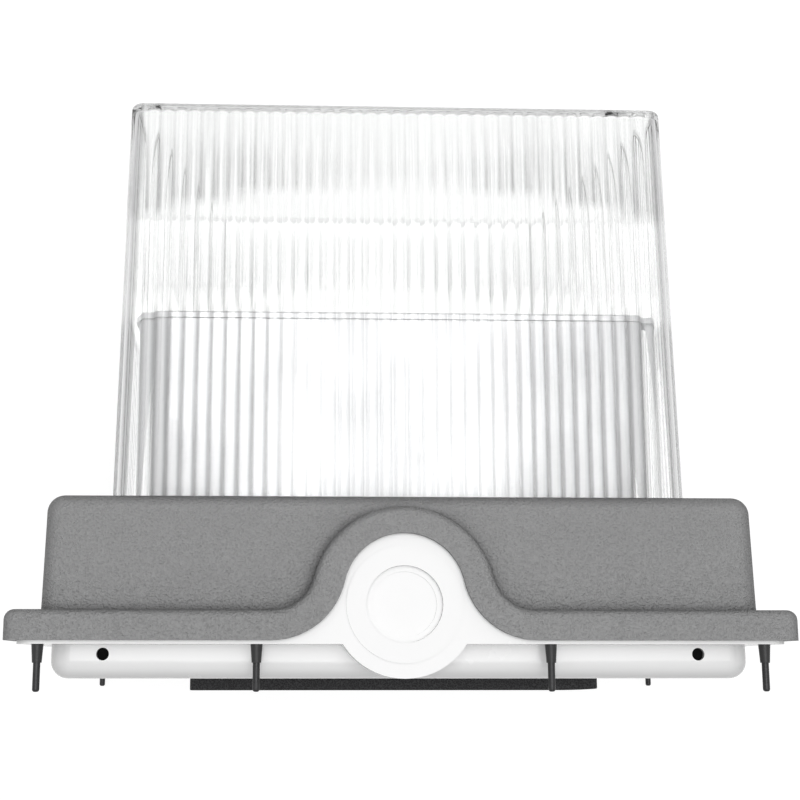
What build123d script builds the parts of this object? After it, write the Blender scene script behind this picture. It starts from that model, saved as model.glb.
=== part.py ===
from build123d import *
import math
import os

# Wall pack light: a shallow housing on the wall, a lift-off cover and a deep ribbed refractor.
#
# The frame is the light as it hangs in use: +Z up the wall, +Y into the wall, and the light faces -Y.
# The origin is the middle of the face that lies on the wall. A distance "out" is measured from the
# wall along -Y, so every level of the light is a single number.

os.makedirs("parts", exist_ok=True)

# ---- Clearances shared by mating parts ---------------------------------------------------------
running_gap = 0.05        # radial, between a turning piece and its hole
free_gap = 0.6            # between a lift-off piece and what it passes
seat_gap = 0.3            # between soft or curved pieces that rest on each other
screw_hole_gap = 0.3      # radial, round a screw's shank

# ---- Outline, which every other outline follows ------------------------------------------------
flange_length = 356.0
flange_height = 235.0
flange_over_rim_x = 5.5   # how far the flange reaches past the rim
flange_over_rim_z = 3.2
flange_ledge_x = 13.0     # the flange's ledge beside the raised body
flange_ledge_z = 13.0
rim_over_box_x = 12.5     # how far the rim reaches past the box
rim_over_box_z = 14.3
lens_frame_x = 30.2       # the cover's front, between its edge and the lens
lens_frame_z = 11.0
rim_length = flange_length - 2 * flange_over_rim_x
rim_height = flange_height - 2 * flange_over_rim_z
body_length = flange_length - 2 * flange_ledge_x
body_height = flange_height - 2 * flange_ledge_z
box_length = rim_length - 2 * rim_over_box_x
box_height = rim_height - 2 * rim_over_box_z
lens_length = body_length - 2 * lens_frame_x      # at the cover's front
lens_height = body_height - 2 * lens_frame_z
cut_over = 1.0            # how far a cutting shape runs past the face that it cuts

# ---- Wall gasket -------------------------------------------------------------------------------
pad_length = 200.5
pad_height = 90.0
pad_thickness = 6.0
wire_hole_radius = 11.0

# ---- Back housing ------------------------------------------------------------------------------
box_depth = 15.2
box_corner_radius = 10.0
box_edge_radius = 8.0
housing_wall = 3.0
housing_floor = 3.0
rim_thickness = 3.0
rim_corner_radius = 6.0
wall_screw_inset_x = 30.0
wall_screw_inset_z = 25.0
wall_screw_hole_radius = 3.5

# ---- Conduit hub on the top of the housing -----------------------------------------------------
hub_radius = 32.8
hub_length = 26.0
hub_ring_radius = 26.2
hub_ring_height = 0.8
hub_tab_thickness = 3.0
hub_tab_half_width = 52.0
hub_tab_cover = 4.0       # how far the tab reaches behind the edge of the cover's arch
hub_bore_radius = 13.3
plug_head_radius = 17.2
plug_head_thickness = 4.0
plug_recess = 2.0
plug_dish_depth = 0.8
plug_wall = 2.6
thread_pitch = 1.8143
thread_turns = 5.5
seal_thickness = 1.3
seal_width = 2.8

# ---- Side hole plugs ---------------------------------------------------------------------------
side_hole_radius = 2.85
side_hole_x = box_length / 2 - 24.5
side_hole_out = 16.9
side_hole_boss_radius = 3.9
side_hole_boss_length = 6.0
side_plug_recess = 2.5
side_plug_length = 5.0

# ---- Front cover -------------------------------------------------------------------------------
flange_skirt_overlap = 1.6    # the skirt stops this far outside the rim's wall side
flange_thickness = 13.6
flange_corner_radius = 6.0
flange_edge_radius = 4.5
body_corner_radius = 10.0
body_edge_radius = 8.0
body_rise = 52.8          # from the flange's front to the cover's front
body_draft = 1.5          # degrees
cover_wall = 4.0
cover_front_wall = 3.2
arch_radius = 27.4
arch_centre_out = 43.1
arch_fillet = 33.4
band_arch_radius = 41.9
band_arch_centre_out = 41.0
band_fillet = 18.8
cover_gasket_thickness = 2.5
cover_gasket_margin = 1.2

# ---- Cover screws and their sleeves ------------------------------------------------------------
cover_screw_inner_x = 66.0
cover_screw_outer_x = rim_length / 2 - 9.5
cover_screw_z = rim_height / 2 - 4.3
cover_screw_shank_radius = 1.6
cover_screw_head_radius = 2.6
cover_screw_head_height = 2.2
cover_screw_sink = 4.0
cover_screw_tip_out = 0.3
sleeve_length = 8.2
sleeve_top_radius = 2.7
sleeve_tip_radius = 2.15
sleeve_neck_radius = 2.45

# ---- Refractor and what holds it ---------------------------------------------------------------
lens_rise = 195.4         # from the cover's front to the lens's front
lens_draft = 0.94         # degrees
lens_wall = 3.0
lens_front_wall = 3.4
lens_corner_radius = 7.0
lens_edge_radius = 2.2
lens_lip_x = 8.0
lens_lip_z = 3.6
lens_lip_thickness = 3.5
rib_pitch = 6.65
rib_height = 0.75
rib_root = 0.5            # flat left between two ribs
rib_margin = 9.0          # plain glass beside each corner
rib_start_gap = 0.8       # plain glass between the cover and the ribs
rib_end_gap = 3.5
lens_gasket_thickness = 2.0
lens_gasket_width_x = 7.0
lens_gasket_width_z = 3.4
retainer_thickness = 1.5
retainer_inset = 1.0      # how far the retainer reaches inside the lens's wall
retainer_edge_gap = 1.5
lens_post_radius = 4.2
lens_post_x = lens_length / 2 + 13.5
lens_post_z = lens_height / 2 - 9.5
lens_screw_shank_radius = 1.5
lens_screw_head_radius = 3.0
lens_screw_head_height = 2.0
lens_screw_length = 9.0
lens_screw_slot = 0.7

# ---- Gear tray ---------------------------------------------------------------------------------
tray_length = box_length - 84.0
tray_height = box_height - 72.0
tray_thickness = 1.5
tray_lip = 6.0
tray_corner_radius = 4.0
tray_post_x = tray_length / 2 - 14.0
tray_post_z = tray_height / 2 - 12.0
tray_post_radius = 4.5
tray_post_height = 4.0
tray_hole_radius = 14.0
tray_screw_shank_radius = 2.0
tray_screw_head_radius = 3.8
tray_screw_head_height = 2.6
tray_screw_length = 6.0

# ---- Ballast -----------------------------------------------------------------------------------
core_length = 76.0
core_rise = 60.0
core_stack = 40.0
core_limb = 13.0
core_edge_gap = 0.4
coil_overhang = 9.0
coil_corner_radius = 4.0
ballast_x = 64.0
ballast_bolt_radius = 2.2
ballast_bolt_head_radius = 4.2
ballast_bolt_head_height = 3.0
ballast_base_length = 98.0
ballast_base_height = 36.0
ballast_base_thickness = 2.0
ballast_base_corner = 3.0

# ---- Capacitor, ignitor, terminals -------------------------------------------------------------
capacitor_radius = 13.0
capacitor_spread = 10.0   # between the centres of the oval can's two round sides
capacitor_length = 76.0
capacitor_x = -46.0
capacitor_z = 30.0 - tray_height / 2
capacitor_bead = 0.8
capacitor_bead_width = 3.0
capacitor_lug_height = 7.0
capacitor_lug_width = 6.3
capacitor_lug_thickness = 0.8
capacitor_lug_spread = 2.0    # how far a lug stands past the centre of its round side
strap_width = 14.0
strap_thickness = 1.2
strap_foot = 9.0
ignitor_size = (44.0, 30.0, 24.0)
ignitor_x = -60.0
ignitor_z = capacitor_z + 54.0
ignitor_edge_radius = 3.0
ignitor_tongue = (62.0, 12.0, 2.0)
terminal_size = (44.0, 18.0, 16.0)
terminal_x = 2.0
terminal_z = tray_height / 2 - 14.0
terminal_ways = 3
terminal_well_radius = 3.2
terminal_well_depth = 4.0
terminal_mouth_radius = 2.6
terminal_edge_radius = 1.0
terminal_screw_slot = 0.9
terminal_mouth_rise = 6.0
ground_screw_x = -34.0
ground_screw_z = tray_height / 2 - 12.0
small_screw_shank_radius = 1.6
small_screw_head_radius = 3.0
small_screw_head_height = 2.0
small_screw_spare = 1.5   # how far a tray-mounted screw stands out under the tray

# ---- Reflector ---------------------------------------------------------------------------------
reflector_rim_length = lens_length - 17.0
reflector_rim_height = lens_height - 19.0
reflector_back_length = reflector_rim_length - 10.0
reflector_back_height = reflector_rim_height - 14.0
reflector_back_out = 88.0
reflector_rim_out = 180.0
reflector_corner_radius = 16.0
reflector_sheet = 1.2
reflector_bead_radius = 1.6
reflector_post_x = reflector_back_length / 2 - 29.0
reflector_post_z = 40.0
reflector_post_radius = 4.0
reflector_post_hole = 8.0
reflector_wire_hole_radius = 6.0
reflector_wire_hole_x = 95.0

# ---- Lamp and socket ---------------------------------------------------------------------------
lamp_axis_out = 138.0
lamp_envelope_radius = 27.0
lamp_neck_radius = 12.4
lamp_neck_length = 13.0
lamp_shoulder_length = 34.0
lamp_bulb_length = 118.0
lamp_cap_radius = 13.0
lamp_cap_length = 24.0
lamp_cap_x = 74.0         # the cap's end, inside the socket
lamp_cap_wall = 0.8
lamp_glass = 1.0
lamp_stem_radius = 3.5
lamp_stem_length = 36.0
arc_tube_radius = 8.0
arc_tube_length = 40.0
lamp_contact_radius = 5.0
lamp_contact_length = 3.0
socket_radius = 20.0
socket_length = 40.0
socket_base = 8.0
socket_lip_radius = 2.0
socket_screw_z = 12.0
socket_screw_radius = 1.5
socket_screw_head_radius = 2.8
socket_screw_head_height = 1.8
socket_screw_length = 6.0
bracket_thickness = 2.0
bracket_width = 36.0
bracket_foot = 26.0
bracket_above_axis = 18.0
bracket_screw_z = 11.0
bracket_wire_hole_radius = 5.0

# ---- Internal leads ----------------------------------------------------------------------------
lead_radius = 1.1
lead_bend_share = 0.45    # of the shorter run beside a bend
lead_end_gap = 0.5        # between a lead's square end and the face it meets
lead_straight = 10.0      # the run straight out of a terminal or a case
lead_sweep = 15.0         # the wider runs between two terminals

# ---- Levels, all measured out from the wall ----------------------------------------------------
back_out = pad_thickness
floor_out = back_out + housing_floor
rim_out = back_out + box_depth
rim_top_out = rim_out + rim_thickness
flange_out = rim_out + flange_skirt_overlap
shoulder_out = rim_top_out + cover_gasket_thickness
flange_top_out = flange_out + flange_thickness
cover_front_out = flange_top_out + body_rise
cover_inner_out = cover_front_out - cover_front_wall
lip_front_out = cover_inner_out - lens_gasket_thickness
lip_back_out = lip_front_out - lens_lip_thickness
retainer_back_out = lip_back_out - retainer_thickness
hub_out = back_out + hub_radius
hub_face_z = rim_height / 2
tray_out = floor_out + tray_post_height
tray_top_out = tray_out + tray_thickness
plug_face_z = hub_face_z - plug_recess
plug_seat_z = plug_face_z - plug_head_thickness
plug_thread_length = thread_turns * thread_pitch

EVERY_COVER_SCREW = [
    (side * x, row * cover_screw_z) for x in (cover_screw_inner_x, cover_screw_outer_x)
    for side in (-1, 1) for row in (-1, 1)
]


# ---- Small tools -------------------------------------------------------------------------------
def facing_out(out):
    """The plane at a level, seen from the wall: its x is X, its y is Z and its normal is -Y."""
    return Plane(origin=(0, -out, 0), x_dir=(1, 0, 0), z_dir=(0, -1, 0))


def facing_up(z):
    """The plane at a height whose x is X, whose y is the level out, and whose normal is -Z."""
    return Plane(origin=(0, 0, z), x_dir=(1, 0, 0), z_dir=(0, 0, -1))


def slab(length, height, radius, out, thickness, taper=0):
    """A plate with round corners, from one level out to the next."""
    outline = facing_out(out) * RectangleRounded(length, height, radius)
    return extrude(outline, amount=thickness, taper=taper)


def bar(size_x, size_z, out, thickness, x=0, z=0):
    """A plain box between two levels, centred on x and z."""
    return extrude(facing_out(out) * Pos(x, z) * Rectangle(size_x, size_z), amount=thickness)


def post(radius, out, length, x=0, z=0):
    """A round post that stands out from a level."""
    return extrude(facing_out(out) * Pos(x, z) * Circle(radius), amount=length)


def posts(radius, out, length, places):
    """The same post at each (x, z) place."""
    return [post(radius, out, length, x, z) for x, z in places]


def upright(radius, z_low, z_high, x, out):
    """A round bar along Z between two heights."""
    return extrude(facing_up(z_high) * Pos(x, out) * Circle(radius), amount=z_high - z_low)


def lengthwise(radius, x_low, x_high, out, z):
    """A round bar along X between two places."""
    end = Plane(origin=(x_low, -out, z), x_dir=(0, 1, 0), z_dir=(1, 0, 0))
    return extrude(end * Circle(radius), amount=x_high - x_low)


def corners(x, z):
    """The four places at plus and minus x and z."""
    return [(sx * x, sz * z) for sx in (-1, 1) for sz in (-1, 1)]


def pan_screw(shank, head, head_height, out, length, x, z):
    """A pan-head screw with its head's seat at a level; the shank runs towards the wall."""
    cap = post(head, out, head_height, x, z)
    rim = cap.faces().sort_by(Axis.Y)[0].edges()
    cap = fillet(rim, head_height * 0.55)
    drive = head * 0.42
    blade = head * 0.22
    slot = bar(drive * 2, blade, out + head_height * 0.5, head_height, x, z)
    cross = bar(blade, drive * 2, out + head_height * 0.5, head_height, x, z)
    return cap + post(shank, out - length, length, x, z) - slot - cross


def one(shape):
    """The single solid of a shape that a cut or a join has wrapped in a compound."""
    solids = shape.solids()
    return solids[0] if len(solids) == 1 else Compound(solids)


def save(node, *shapes):
    """Write one node: one solid, or a group of separate like solids."""
    solids = [solid for shape in shapes for solid in shape.solids()]
    shape = solids[0] if len(solids) == 1 else Compound(children=solids)
    export_step(shape, f"parts/{node}.step")


def bell(arch_out, arch, fillet_radius, base_out, half_width, foot_out):
    """The outline under an arch that runs by two fillets into a straight base line.

    The arch is a circle about (0, arch_out). Each fillet is tangent to it and to the base line.
    """
    fillet_out = base_out + fillet_radius
    fillet_x = math.sqrt((arch + fillet_radius) ** 2 - (fillet_out - arch_out) ** 2)
    lean = math.atan2(fillet_out - arch_out, fillet_x)
    touch = (arch * math.cos(lean), arch_out + arch * math.sin(lean))
    middle = (math.pi / 2 + lean) / 2
    waist = (fillet_x - fillet_radius * math.sin(middle), fillet_out - fillet_radius * math.cos(middle))
    foot = (fillet_x, base_out)
    left = [(-x, out) for x, out in (foot, waist, touch)]
    right = [touch, waist, foot]
    edges = [
        ThreePointArc(*left),
        ThreePointArc(left[2], (0, arch_out + arch), right[0]),
        ThreePointArc(*right),
    ]
    end = (half_width, foot_out)
    edges.append(Polyline(foot, (half_width, base_out), end, (-end[0], foot_out),
                          (-half_width, base_out), (-foot[0], base_out)))
    return make_face(edges)


# ---- Wall side ---------------------------------------------------------------------------------
def wall_gasket():
    """A closed-cell foam pad, die cut, with the hole for the supply wires."""
    pad = bar(pad_length, pad_height, 0, pad_thickness)
    return pad - post(wire_hole_radius, 0, pad_thickness)


def back_housing():
    """A shallow die-cast box with a rim, the conduit hub and its bell-shaped tab."""
    box = slab(box_length, box_height, box_corner_radius, back_out, box_depth + rim_thickness)
    box = fillet(box.faces().sort_by(Axis.Y)[-1].edges(), box_edge_radius)
    rim = slab(rim_length, rim_height, rim_corner_radius, rim_out, rim_thickness)
    hub = upright(hub_radius, hub_face_z - hub_length, hub_face_z, 0, hub_out)
    ring = upright(hub_ring_radius, hub_face_z, hub_face_z + hub_ring_height, 0, hub_out)
    tab = bell(arch_centre_out, arch_radius + hub_tab_cover, arch_fillet - hub_tab_cover,
               flange_out + hub_tab_cover, hub_tab_half_width * 2, rim_out)
    tab = extrude(facing_up(hub_face_z) * tab, amount=hub_tab_thickness)
    tab = tab & bar(hub_tab_half_width * 2, rim_height * 2, rim_out, cover_front_out)
    housing = box + rim + hub + ring + tab

    cavity_corner = box_corner_radius - housing_wall
    cavity = slab(box_length - 2 * housing_wall, box_height - 2 * housing_wall, cavity_corner,
                  floor_out, hub_out * 2)
    housing = housing - (cavity - hub)

    counterbore = upright(plug_head_radius + running_gap, plug_seat_z,
                          hub_face_z + hub_ring_height + cut_over, 0, hub_out)
    bore = upright(hub_bore_radius, hub_face_z - hub_length, plug_seat_z, 0, hub_out)
    housing = housing - counterbore - bore

    boss_low = box_height / 2 - housing_wall - side_hole_boss_length
    boss_high = box_height / 2 - housing_wall / 2
    for x in (-side_hole_x, side_hole_x):
        boss = upright(side_hole_boss_radius, boss_low, boss_high, x, side_hole_out)
        housing = housing + boss - upright(side_hole_radius, boss_low, box_height / 2, x, side_hole_out)

    housing = housing + posts(tray_post_radius, floor_out, tray_post_height,
                              corners(tray_post_x, tray_post_z))
    housing = housing - posts(tray_screw_shank_radius + running_gap, floor_out, tray_post_height,
                              corners(tray_post_x, tray_post_z))
    wall_holes = corners(box_length / 2 - wall_screw_inset_x, box_height / 2 - wall_screw_inset_z)
    housing = housing - posts(wall_screw_hole_radius, back_out, housing_floor, wall_holes)
    housing = housing - post(wire_hole_radius, back_out, housing_floor)
    housing = housing - posts(sleeve_neck_radius + running_gap, rim_out, rim_thickness,
                              EVERY_COVER_SCREW)
    return one(housing)


def side_hole_plugs():
    """Soft plugs pressed into the two small holes in the top of the box."""
    top = box_height / 2 - side_plug_recess
    return [upright(side_hole_radius - running_gap, top - side_plug_length, top, side * side_hole_x,
                    side_hole_out) for side in (-1, 1)]


def screw_sleeves():
    """Tapered rubber sleeves under the rim, each with a neck up through its hole."""
    sleeves = []
    for x, z in EVERY_COVER_SCREW:
        top = Plane(origin=(x, -rim_out, z), x_dir=(1, 0, 0), z_dir=(0, 1, 0))
        tip = top.offset(sleeve_length)
        skirt = loft([top * Circle(sleeve_top_radius), tip * Circle(sleeve_tip_radius)])
        neck = post(sleeve_neck_radius, rim_out, rim_thickness, x, z)
        hole = post(cover_screw_shank_radius + running_gap, rim_out - sleeve_length,
                    sleeve_length + rim_thickness, x, z)
        sleeves.append(skirt + neck - hole)
    return sleeves


# ---- Hub plug ----------------------------------------------------------------------------------
def hub_plug():
    """A moulded closure plug: a dished head sunk in the hub, and a hollow threaded shank."""
    head = upright(plug_head_radius, plug_seat_z + seal_thickness, plug_face_z, 0, hub_out)
    dish = upright(plug_head_radius - plug_wall, plug_face_z - plug_dish_depth, plug_face_z, 0, hub_out)
    shank_radius = hub_bore_radius - running_gap
    low = plug_seat_z - plug_thread_length
    shank = upright(shank_radius, low, plug_seat_z + seal_thickness, 0, hub_out)
    hollow = upright(shank_radius - plug_wall, low, plug_seat_z, 0, hub_out)
    return head - dish + shank - hollow


def hub_seal():
    """The plug's sealing washer, which lies under its head and travels with it."""
    top = plug_seat_z + seal_thickness
    washer = upright(hub_bore_radius + seal_width, plug_seat_z, top, 0, hub_out)
    return washer - upright(hub_bore_radius + running_gap, plug_seat_z, top, 0, hub_out)


# ---- Front cover -------------------------------------------------------------------------------
def on_flange_edge(edge):
    """Whether an edge belongs to the outer front edge of the flange and its band."""
    middle = edge.center(CenterOf.BOUNDING_BOX)
    box = edge.bounding_box()
    on_top_side = box.min.Z > flange_height / 2 - 0.01
    level = box.size.Y < 0.01 and abs(middle.Y + flange_top_out) < 0.01
    at_side = box.size.Z < 0.01 and abs(middle.Z) > flange_height / 2 - 0.01
    at_end = box.size.X < 0.01 and abs(middle.X) > flange_length / 2 - 0.01
    round_corner = abs(middle.X) > flange_length / 2 - flange_corner_radius
    if on_top_side and middle.Y < -flange_top_out + 0.01:
        return True
    return level and (at_side or at_end or round_corner)


def front_cover():
    """The die-cast cover: flange, raised body, the arched band over the hub and the lens window."""
    flange = slab(flange_length, flange_height, flange_corner_radius, flange_out, flange_thickness)
    band_face = bell(band_arch_centre_out, band_arch_radius, band_fillet, flange_top_out,
                     body_length / 4, flange_out)
    band_depth = (flange_height - body_height) / 2 + cover_wall / 2
    band = extrude(facing_up(flange_height / 2) * band_face, amount=band_depth)
    flange = flange + band
    flange = fillet([edge for edge in flange.edges() if on_flange_edge(edge)], flange_edge_radius)
    body = slab(body_length, body_height, body_corner_radius, flange_out,
                cover_front_out - flange_out, body_draft)
    body = fillet(body.faces().sort_by(Axis.Y)[0].edges(), body_edge_radius)
    cover = flange + body

    recess = slab(rim_length + 2 * free_gap, rim_height + 2 * free_gap, rim_corner_radius + free_gap,
                  flange_out, shoulder_out - flange_out)
    cavity = slab(body_length - 2 * cover_wall, body_height - 2 * cover_wall,
                  body_corner_radius - cover_wall, flange_out, cover_inner_out - flange_out, body_draft)
    window = slab(lens_length + 2 * free_gap, lens_height + 2 * free_gap, lens_corner_radius + free_gap,
                  cover_inner_out, cover_front_wall)
    cover = cover - recess - cavity - window

    arch = bell(arch_centre_out, arch_radius, arch_fillet, flange_out, body_length * 0.4, 0)
    cover = cover - extrude(facing_up(flange_height / 2) * arch, amount=cover_wall)
    pocket_reach = hub_tab_cover + free_gap
    pocket = bell(arch_centre_out, arch_radius + pocket_reach, arch_fillet - pocket_reach,
                  flange_out + pocket_reach, body_length * 0.4, 0)
    pocket = extrude(facing_up(hub_face_z + free_gap) * pocket,
                     amount=hub_tab_thickness + 2 * free_gap)
    pocket = pocket & bar((hub_tab_half_width + free_gap) * 2, rim_height * 2, 0, cover_front_out)
    passage = upright(hub_radius + free_gap, 0, hub_face_z + free_gap, 0, hub_out)
    passage = passage + extrude(
        facing_up(hub_face_z + free_gap) * Pos(0, hub_out / 2)
        * Rectangle((hub_radius + free_gap) * 2, hub_out), amount=hub_face_z)
    cover = cover - pocket - passage

    cover = cover + posts(lens_post_radius, lip_back_out, cover_inner_out - lip_back_out, lens_posts())
    cover = cover - posts(lens_screw_shank_radius + running_gap, lip_back_out,
                          lens_screw_length - retainer_thickness, lens_posts())
    shank_hole = cover_screw_shank_radius + screw_hole_gap
    cover = cover - posts(shank_hole, flange_out, flange_thickness, EVERY_COVER_SCREW)
    cover = cover - posts(cover_screw_head_radius + 4 * running_gap, flange_top_out - cover_screw_sink,
                          cover_screw_sink, EVERY_COVER_SCREW)
    return one(cover)


def lens_posts():
    """Where the six posts stand that the lens retainer is screwed to."""
    return [(side * lens_post_x, z) for side in (-1, 1) for z in (-lens_post_z, 0, lens_post_z)]


def cover_screws():
    """Eight long screws, sunk in the flange, whose tips stand out of the sleeves."""
    seat = flange_top_out - cover_screw_sink
    screws = []
    for x, z in EVERY_COVER_SCREW:
        screw = pan_screw(cover_screw_shank_radius, cover_screw_head_radius, cover_screw_head_height,
                          seat, seat - cover_screw_tip_out, x, z)
        tip = screw.faces().sort_by(Axis.Y)[-1].edges()
        screws.append(fillet(tip, cover_screw_shank_radius * 0.7))
    return screws


def cover_gasket():
    """A flat rubber gasket between the rim and the cover, open where the hub passes."""
    margin = 2 * cover_gasket_margin
    ring = slab(rim_length - margin, rim_height - margin, rim_corner_radius - cover_gasket_margin,
                rim_top_out, cover_gasket_thickness)
    inner = slab(body_length - 2 * cover_wall + margin, body_height - 2 * cover_wall + margin,
                 body_corner_radius - cover_wall, rim_top_out, cover_gasket_thickness)
    ring = ring - inner
    ring = ring - bar((hub_radius + 2 * free_gap) * 2, rim_height / 2, rim_top_out,
                      cover_gasket_thickness, 0, rim_height / 4 + body_height / 4)
    tab_low = hub_face_z - hub_tab_thickness - free_gap
    ring = ring - bar((hub_tab_half_width + free_gap) * 2, rim_height / 2, rim_top_out,
                      cover_gasket_thickness, 0, tab_low + rim_height / 4)
    ring = ring - posts(cover_screw_shank_radius + screw_hole_gap, rim_top_out,
                        cover_gasket_thickness, EVERY_COVER_SCREW)
    return ring.solids()


# ---- Refractor ---------------------------------------------------------------------------------
def rib(place, outward, length):
    """One rounded rib: a shallow circle segment, drawn from its foot along the wall's slope.

    place is the foot's centre on the wall, outward is the wall's normal in the X-Z plane.
    """
    half = (rib_pitch - rib_root) / 2
    sink = rib_height / 2
    slope = math.tan(math.radians(lens_draft))
    along = Vector(-outward.X * slope, -1, -outward.Z * slope) * length
    across = Vector(outward.Z, 0, -outward.X)
    chord_start = place + across * half
    chord_end = place - across * half
    crest = place + outward * rib_height
    foot = [chord_end, chord_end - outward * sink, chord_start - outward * sink, chord_start]
    face = make_face([ThreePointArc(chord_start, crest, chord_end), Polyline(*foot)])
    return Solid.extrude(face.faces()[0], along)


def rib_places(wall_length):
    """Rib centres along a wall, evenly spaced about its middle."""
    count = int((wall_length - 2 * rib_margin) // rib_pitch)
    return [(i - (count - 1) / 2) * rib_pitch for i in range(count)]


def refractor():
    """The moulded clear lens: a deep drafted box with outside ribs and a lip inside the cover."""
    root_out = cover_front_out
    outer = slab(lens_length, lens_height, lens_corner_radius, root_out, lens_rise, lens_draft)
    outer = fillet(outer.faces().sort_by(Axis.Y)[0].edges(), lens_edge_radius)
    neck = slab(lens_length, lens_height, lens_corner_radius, lip_back_out, root_out - lip_back_out)
    lip = slab(lens_length + 2 * lens_lip_x, lens_height + 2 * lens_lip_z,
               lens_corner_radius + lens_lip_z, lip_back_out, lens_lip_thickness)
    inside = slab(lens_length - 2 * lens_wall, lens_height - 2 * lens_wall,
                  lens_corner_radius - lens_wall, root_out, lens_rise - lens_front_wall, lens_draft)
    throat = slab(lens_length - 2 * lens_wall, lens_height - 2 * lens_wall,
                  lens_corner_radius - lens_wall, lip_back_out, root_out - lip_back_out)
    lens = outer + neck + lip - inside - throat

    rib_start = root_out + rib_start_gap
    drop = rib_start_gap * math.tan(math.radians(lens_draft))
    length = lens_rise - rib_start_gap - rib_end_gap
    bars = []
    for side in (-1, 1):
        for x in rib_places(lens_length):
            place = Vector(x, -rib_start, side * (lens_height / 2 - drop))
            bars.append(rib(place, Vector(0, 0, side), length))
        for z in rib_places(lens_height):
            place = Vector(side * (lens_length / 2 - drop), -rib_start, z)
            bars.append(rib(place, Vector(side, 0, 0), length))
    return one(lens.solids()[0].fuse(*bars))


def lens_gasket():
    """A silicone frame between the lens's lip and the cover."""
    outer_x = lens_length + 2 * lens_gasket_width_x
    outer_z = lens_height + 2 * lens_gasket_width_z
    frame = slab(outer_x, outer_z, lens_corner_radius + lens_gasket_width_z, lip_front_out,
                 lens_gasket_thickness)
    hole = slab(lens_length + 2 * free_gap, lens_height + 2 * free_gap,
                lens_corner_radius + free_gap, lip_front_out, lens_gasket_thickness)
    return frame - hole


def lens_retainer():
    """A pressed steel frame that clamps the lens's lip from behind."""
    draft_loss = (lip_back_out - flange_out) * math.tan(math.radians(body_draft))
    outer_z = body_height - 2 * (cover_wall + retainer_edge_gap + draft_loss)
    outer_x = 2 * (lens_post_x + lens_post_radius)
    frame = slab(outer_x, outer_z, lens_corner_radius, retainer_back_out, retainer_thickness)
    hole = slab(lens_length - 2 * (lens_wall + retainer_inset),
                lens_height - 2 * (lens_wall + retainer_inset), lens_corner_radius - lens_wall,
                retainer_back_out, retainer_thickness)
    frame = frame - hole
    return frame - posts(lens_screw_shank_radius + screw_hole_gap, retainer_back_out,
                         retainer_thickness, lens_posts())


def lens_screws():
    """Six small screws up into the cover's posts; their heads face the wall."""
    screws = []
    for x, z in lens_posts():
        head = post(lens_screw_head_radius, retainer_back_out - lens_screw_head_height,
                    lens_screw_head_height, x, z)
        head = fillet(head.faces().sort_by(Axis.Y)[-1].edges(), lens_screw_head_height * 0.6)
        slot = bar(lens_screw_head_radius * 1.1, lens_screw_slot,
                   retainer_back_out - lens_screw_head_height, lens_screw_head_height / 2, x, z)
        shank = post(lens_screw_shank_radius, retainer_back_out, lens_screw_length - seat_gap, x, z)
        screws.append(head + shank - slot)
    return screws


# ---- Gear tray and what it carries -------------------------------------------------------------
def gear_tray():
    """A folded steel tray on the housing's four posts."""
    tray = slab(tray_length, tray_height, tray_corner_radius, tray_out, tray_thickness)
    for side in (-1, 1):
        lip_x = side * (tray_length - tray_thickness) / 2
        tray = tray + bar(tray_thickness, tray_height - 3 * tray_corner_radius, tray_out, tray_lip, lip_x, 0)
    tray = tray - post(tray_hole_radius, tray_out, tray_thickness)
    tray = tray - posts(small_screw_shank_radius + running_gap, tray_out, tray_thickness,
                        every_tray_mounted_screw())
    return tray - posts(tray_screw_shank_radius + screw_hole_gap, tray_out, tray_thickness,
                        corners(tray_post_x, tray_post_z))


def tray_screws():
    """Four screws that hold the tray to the housing."""
    return [pan_screw(tray_screw_shank_radius, tray_screw_head_radius, tray_screw_head_height,
                      tray_top_out, tray_screw_length - 1, x, z)
            for x, z in corners(tray_post_x, tray_post_z)]


def ballast_base_out():
    """The level of the core's lower yoke, on top of its base plate."""
    return tray_top_out + ballast_base_thickness


def ballast_base():
    """The steel foot plate under the core, screwed to the tray at both ends."""
    plate = slab(ballast_base_length, ballast_base_height, ballast_base_corner, tray_top_out,
                 ballast_base_thickness)
    plate = plate.moved(Location((ballast_x, 0, 0)))
    return plate - posts(small_screw_shank_radius + running_gap, tray_top_out,
                         ballast_base_thickness, ballast_screws_at())


def ballast_screws_at():
    """One screw through each end of the ballast's foot plate."""
    reach = (ballast_base_length + core_length) / 4
    return [(ballast_x + side * reach, 0) for side in (-1, 1)]


def ballast_screws():
    """The two screws of the ballast's foot plate."""
    return tray_mounted_screws(ballast_screws_at(), ballast_base_thickness)


def core_block(length, rise, stack, x=0):
    """A box centred on the core's middle, given by its length, rise out and stack along Z."""
    middle_out = ballast_base_out() + core_rise / 2
    return bar(length, stack, middle_out - rise / 2, rise, ballast_x + x, 0)


def ballast_core():
    """The laminated steel core: a three-limbed block with two windows for its coil."""
    core = core_block(core_length, core_rise, core_stack)
    window_length = (core_length - 3 * core_limb) / 2
    for side in (-1, 1):
        core = core - core_block(window_length, core_rise - 2 * core_limb, core_stack,
                                 side * (core_limb + window_length) / 2)
    for x, out in ballast_bolts_at():
        core = core - upright(ballast_bolt_radius + running_gap, -core_stack / 2, core_stack / 2, x, out)
    return core


def ballast_bolts_at():
    """The (x, out) places of the four bolts through the corners of the core."""
    dx = (core_length - core_limb) / 2
    rise = (core_rise - core_limb) / 2
    middle_out = ballast_base_out() + core_rise / 2
    return [(ballast_x + x, middle_out + out) for x, out in corners(dx, rise)]


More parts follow.
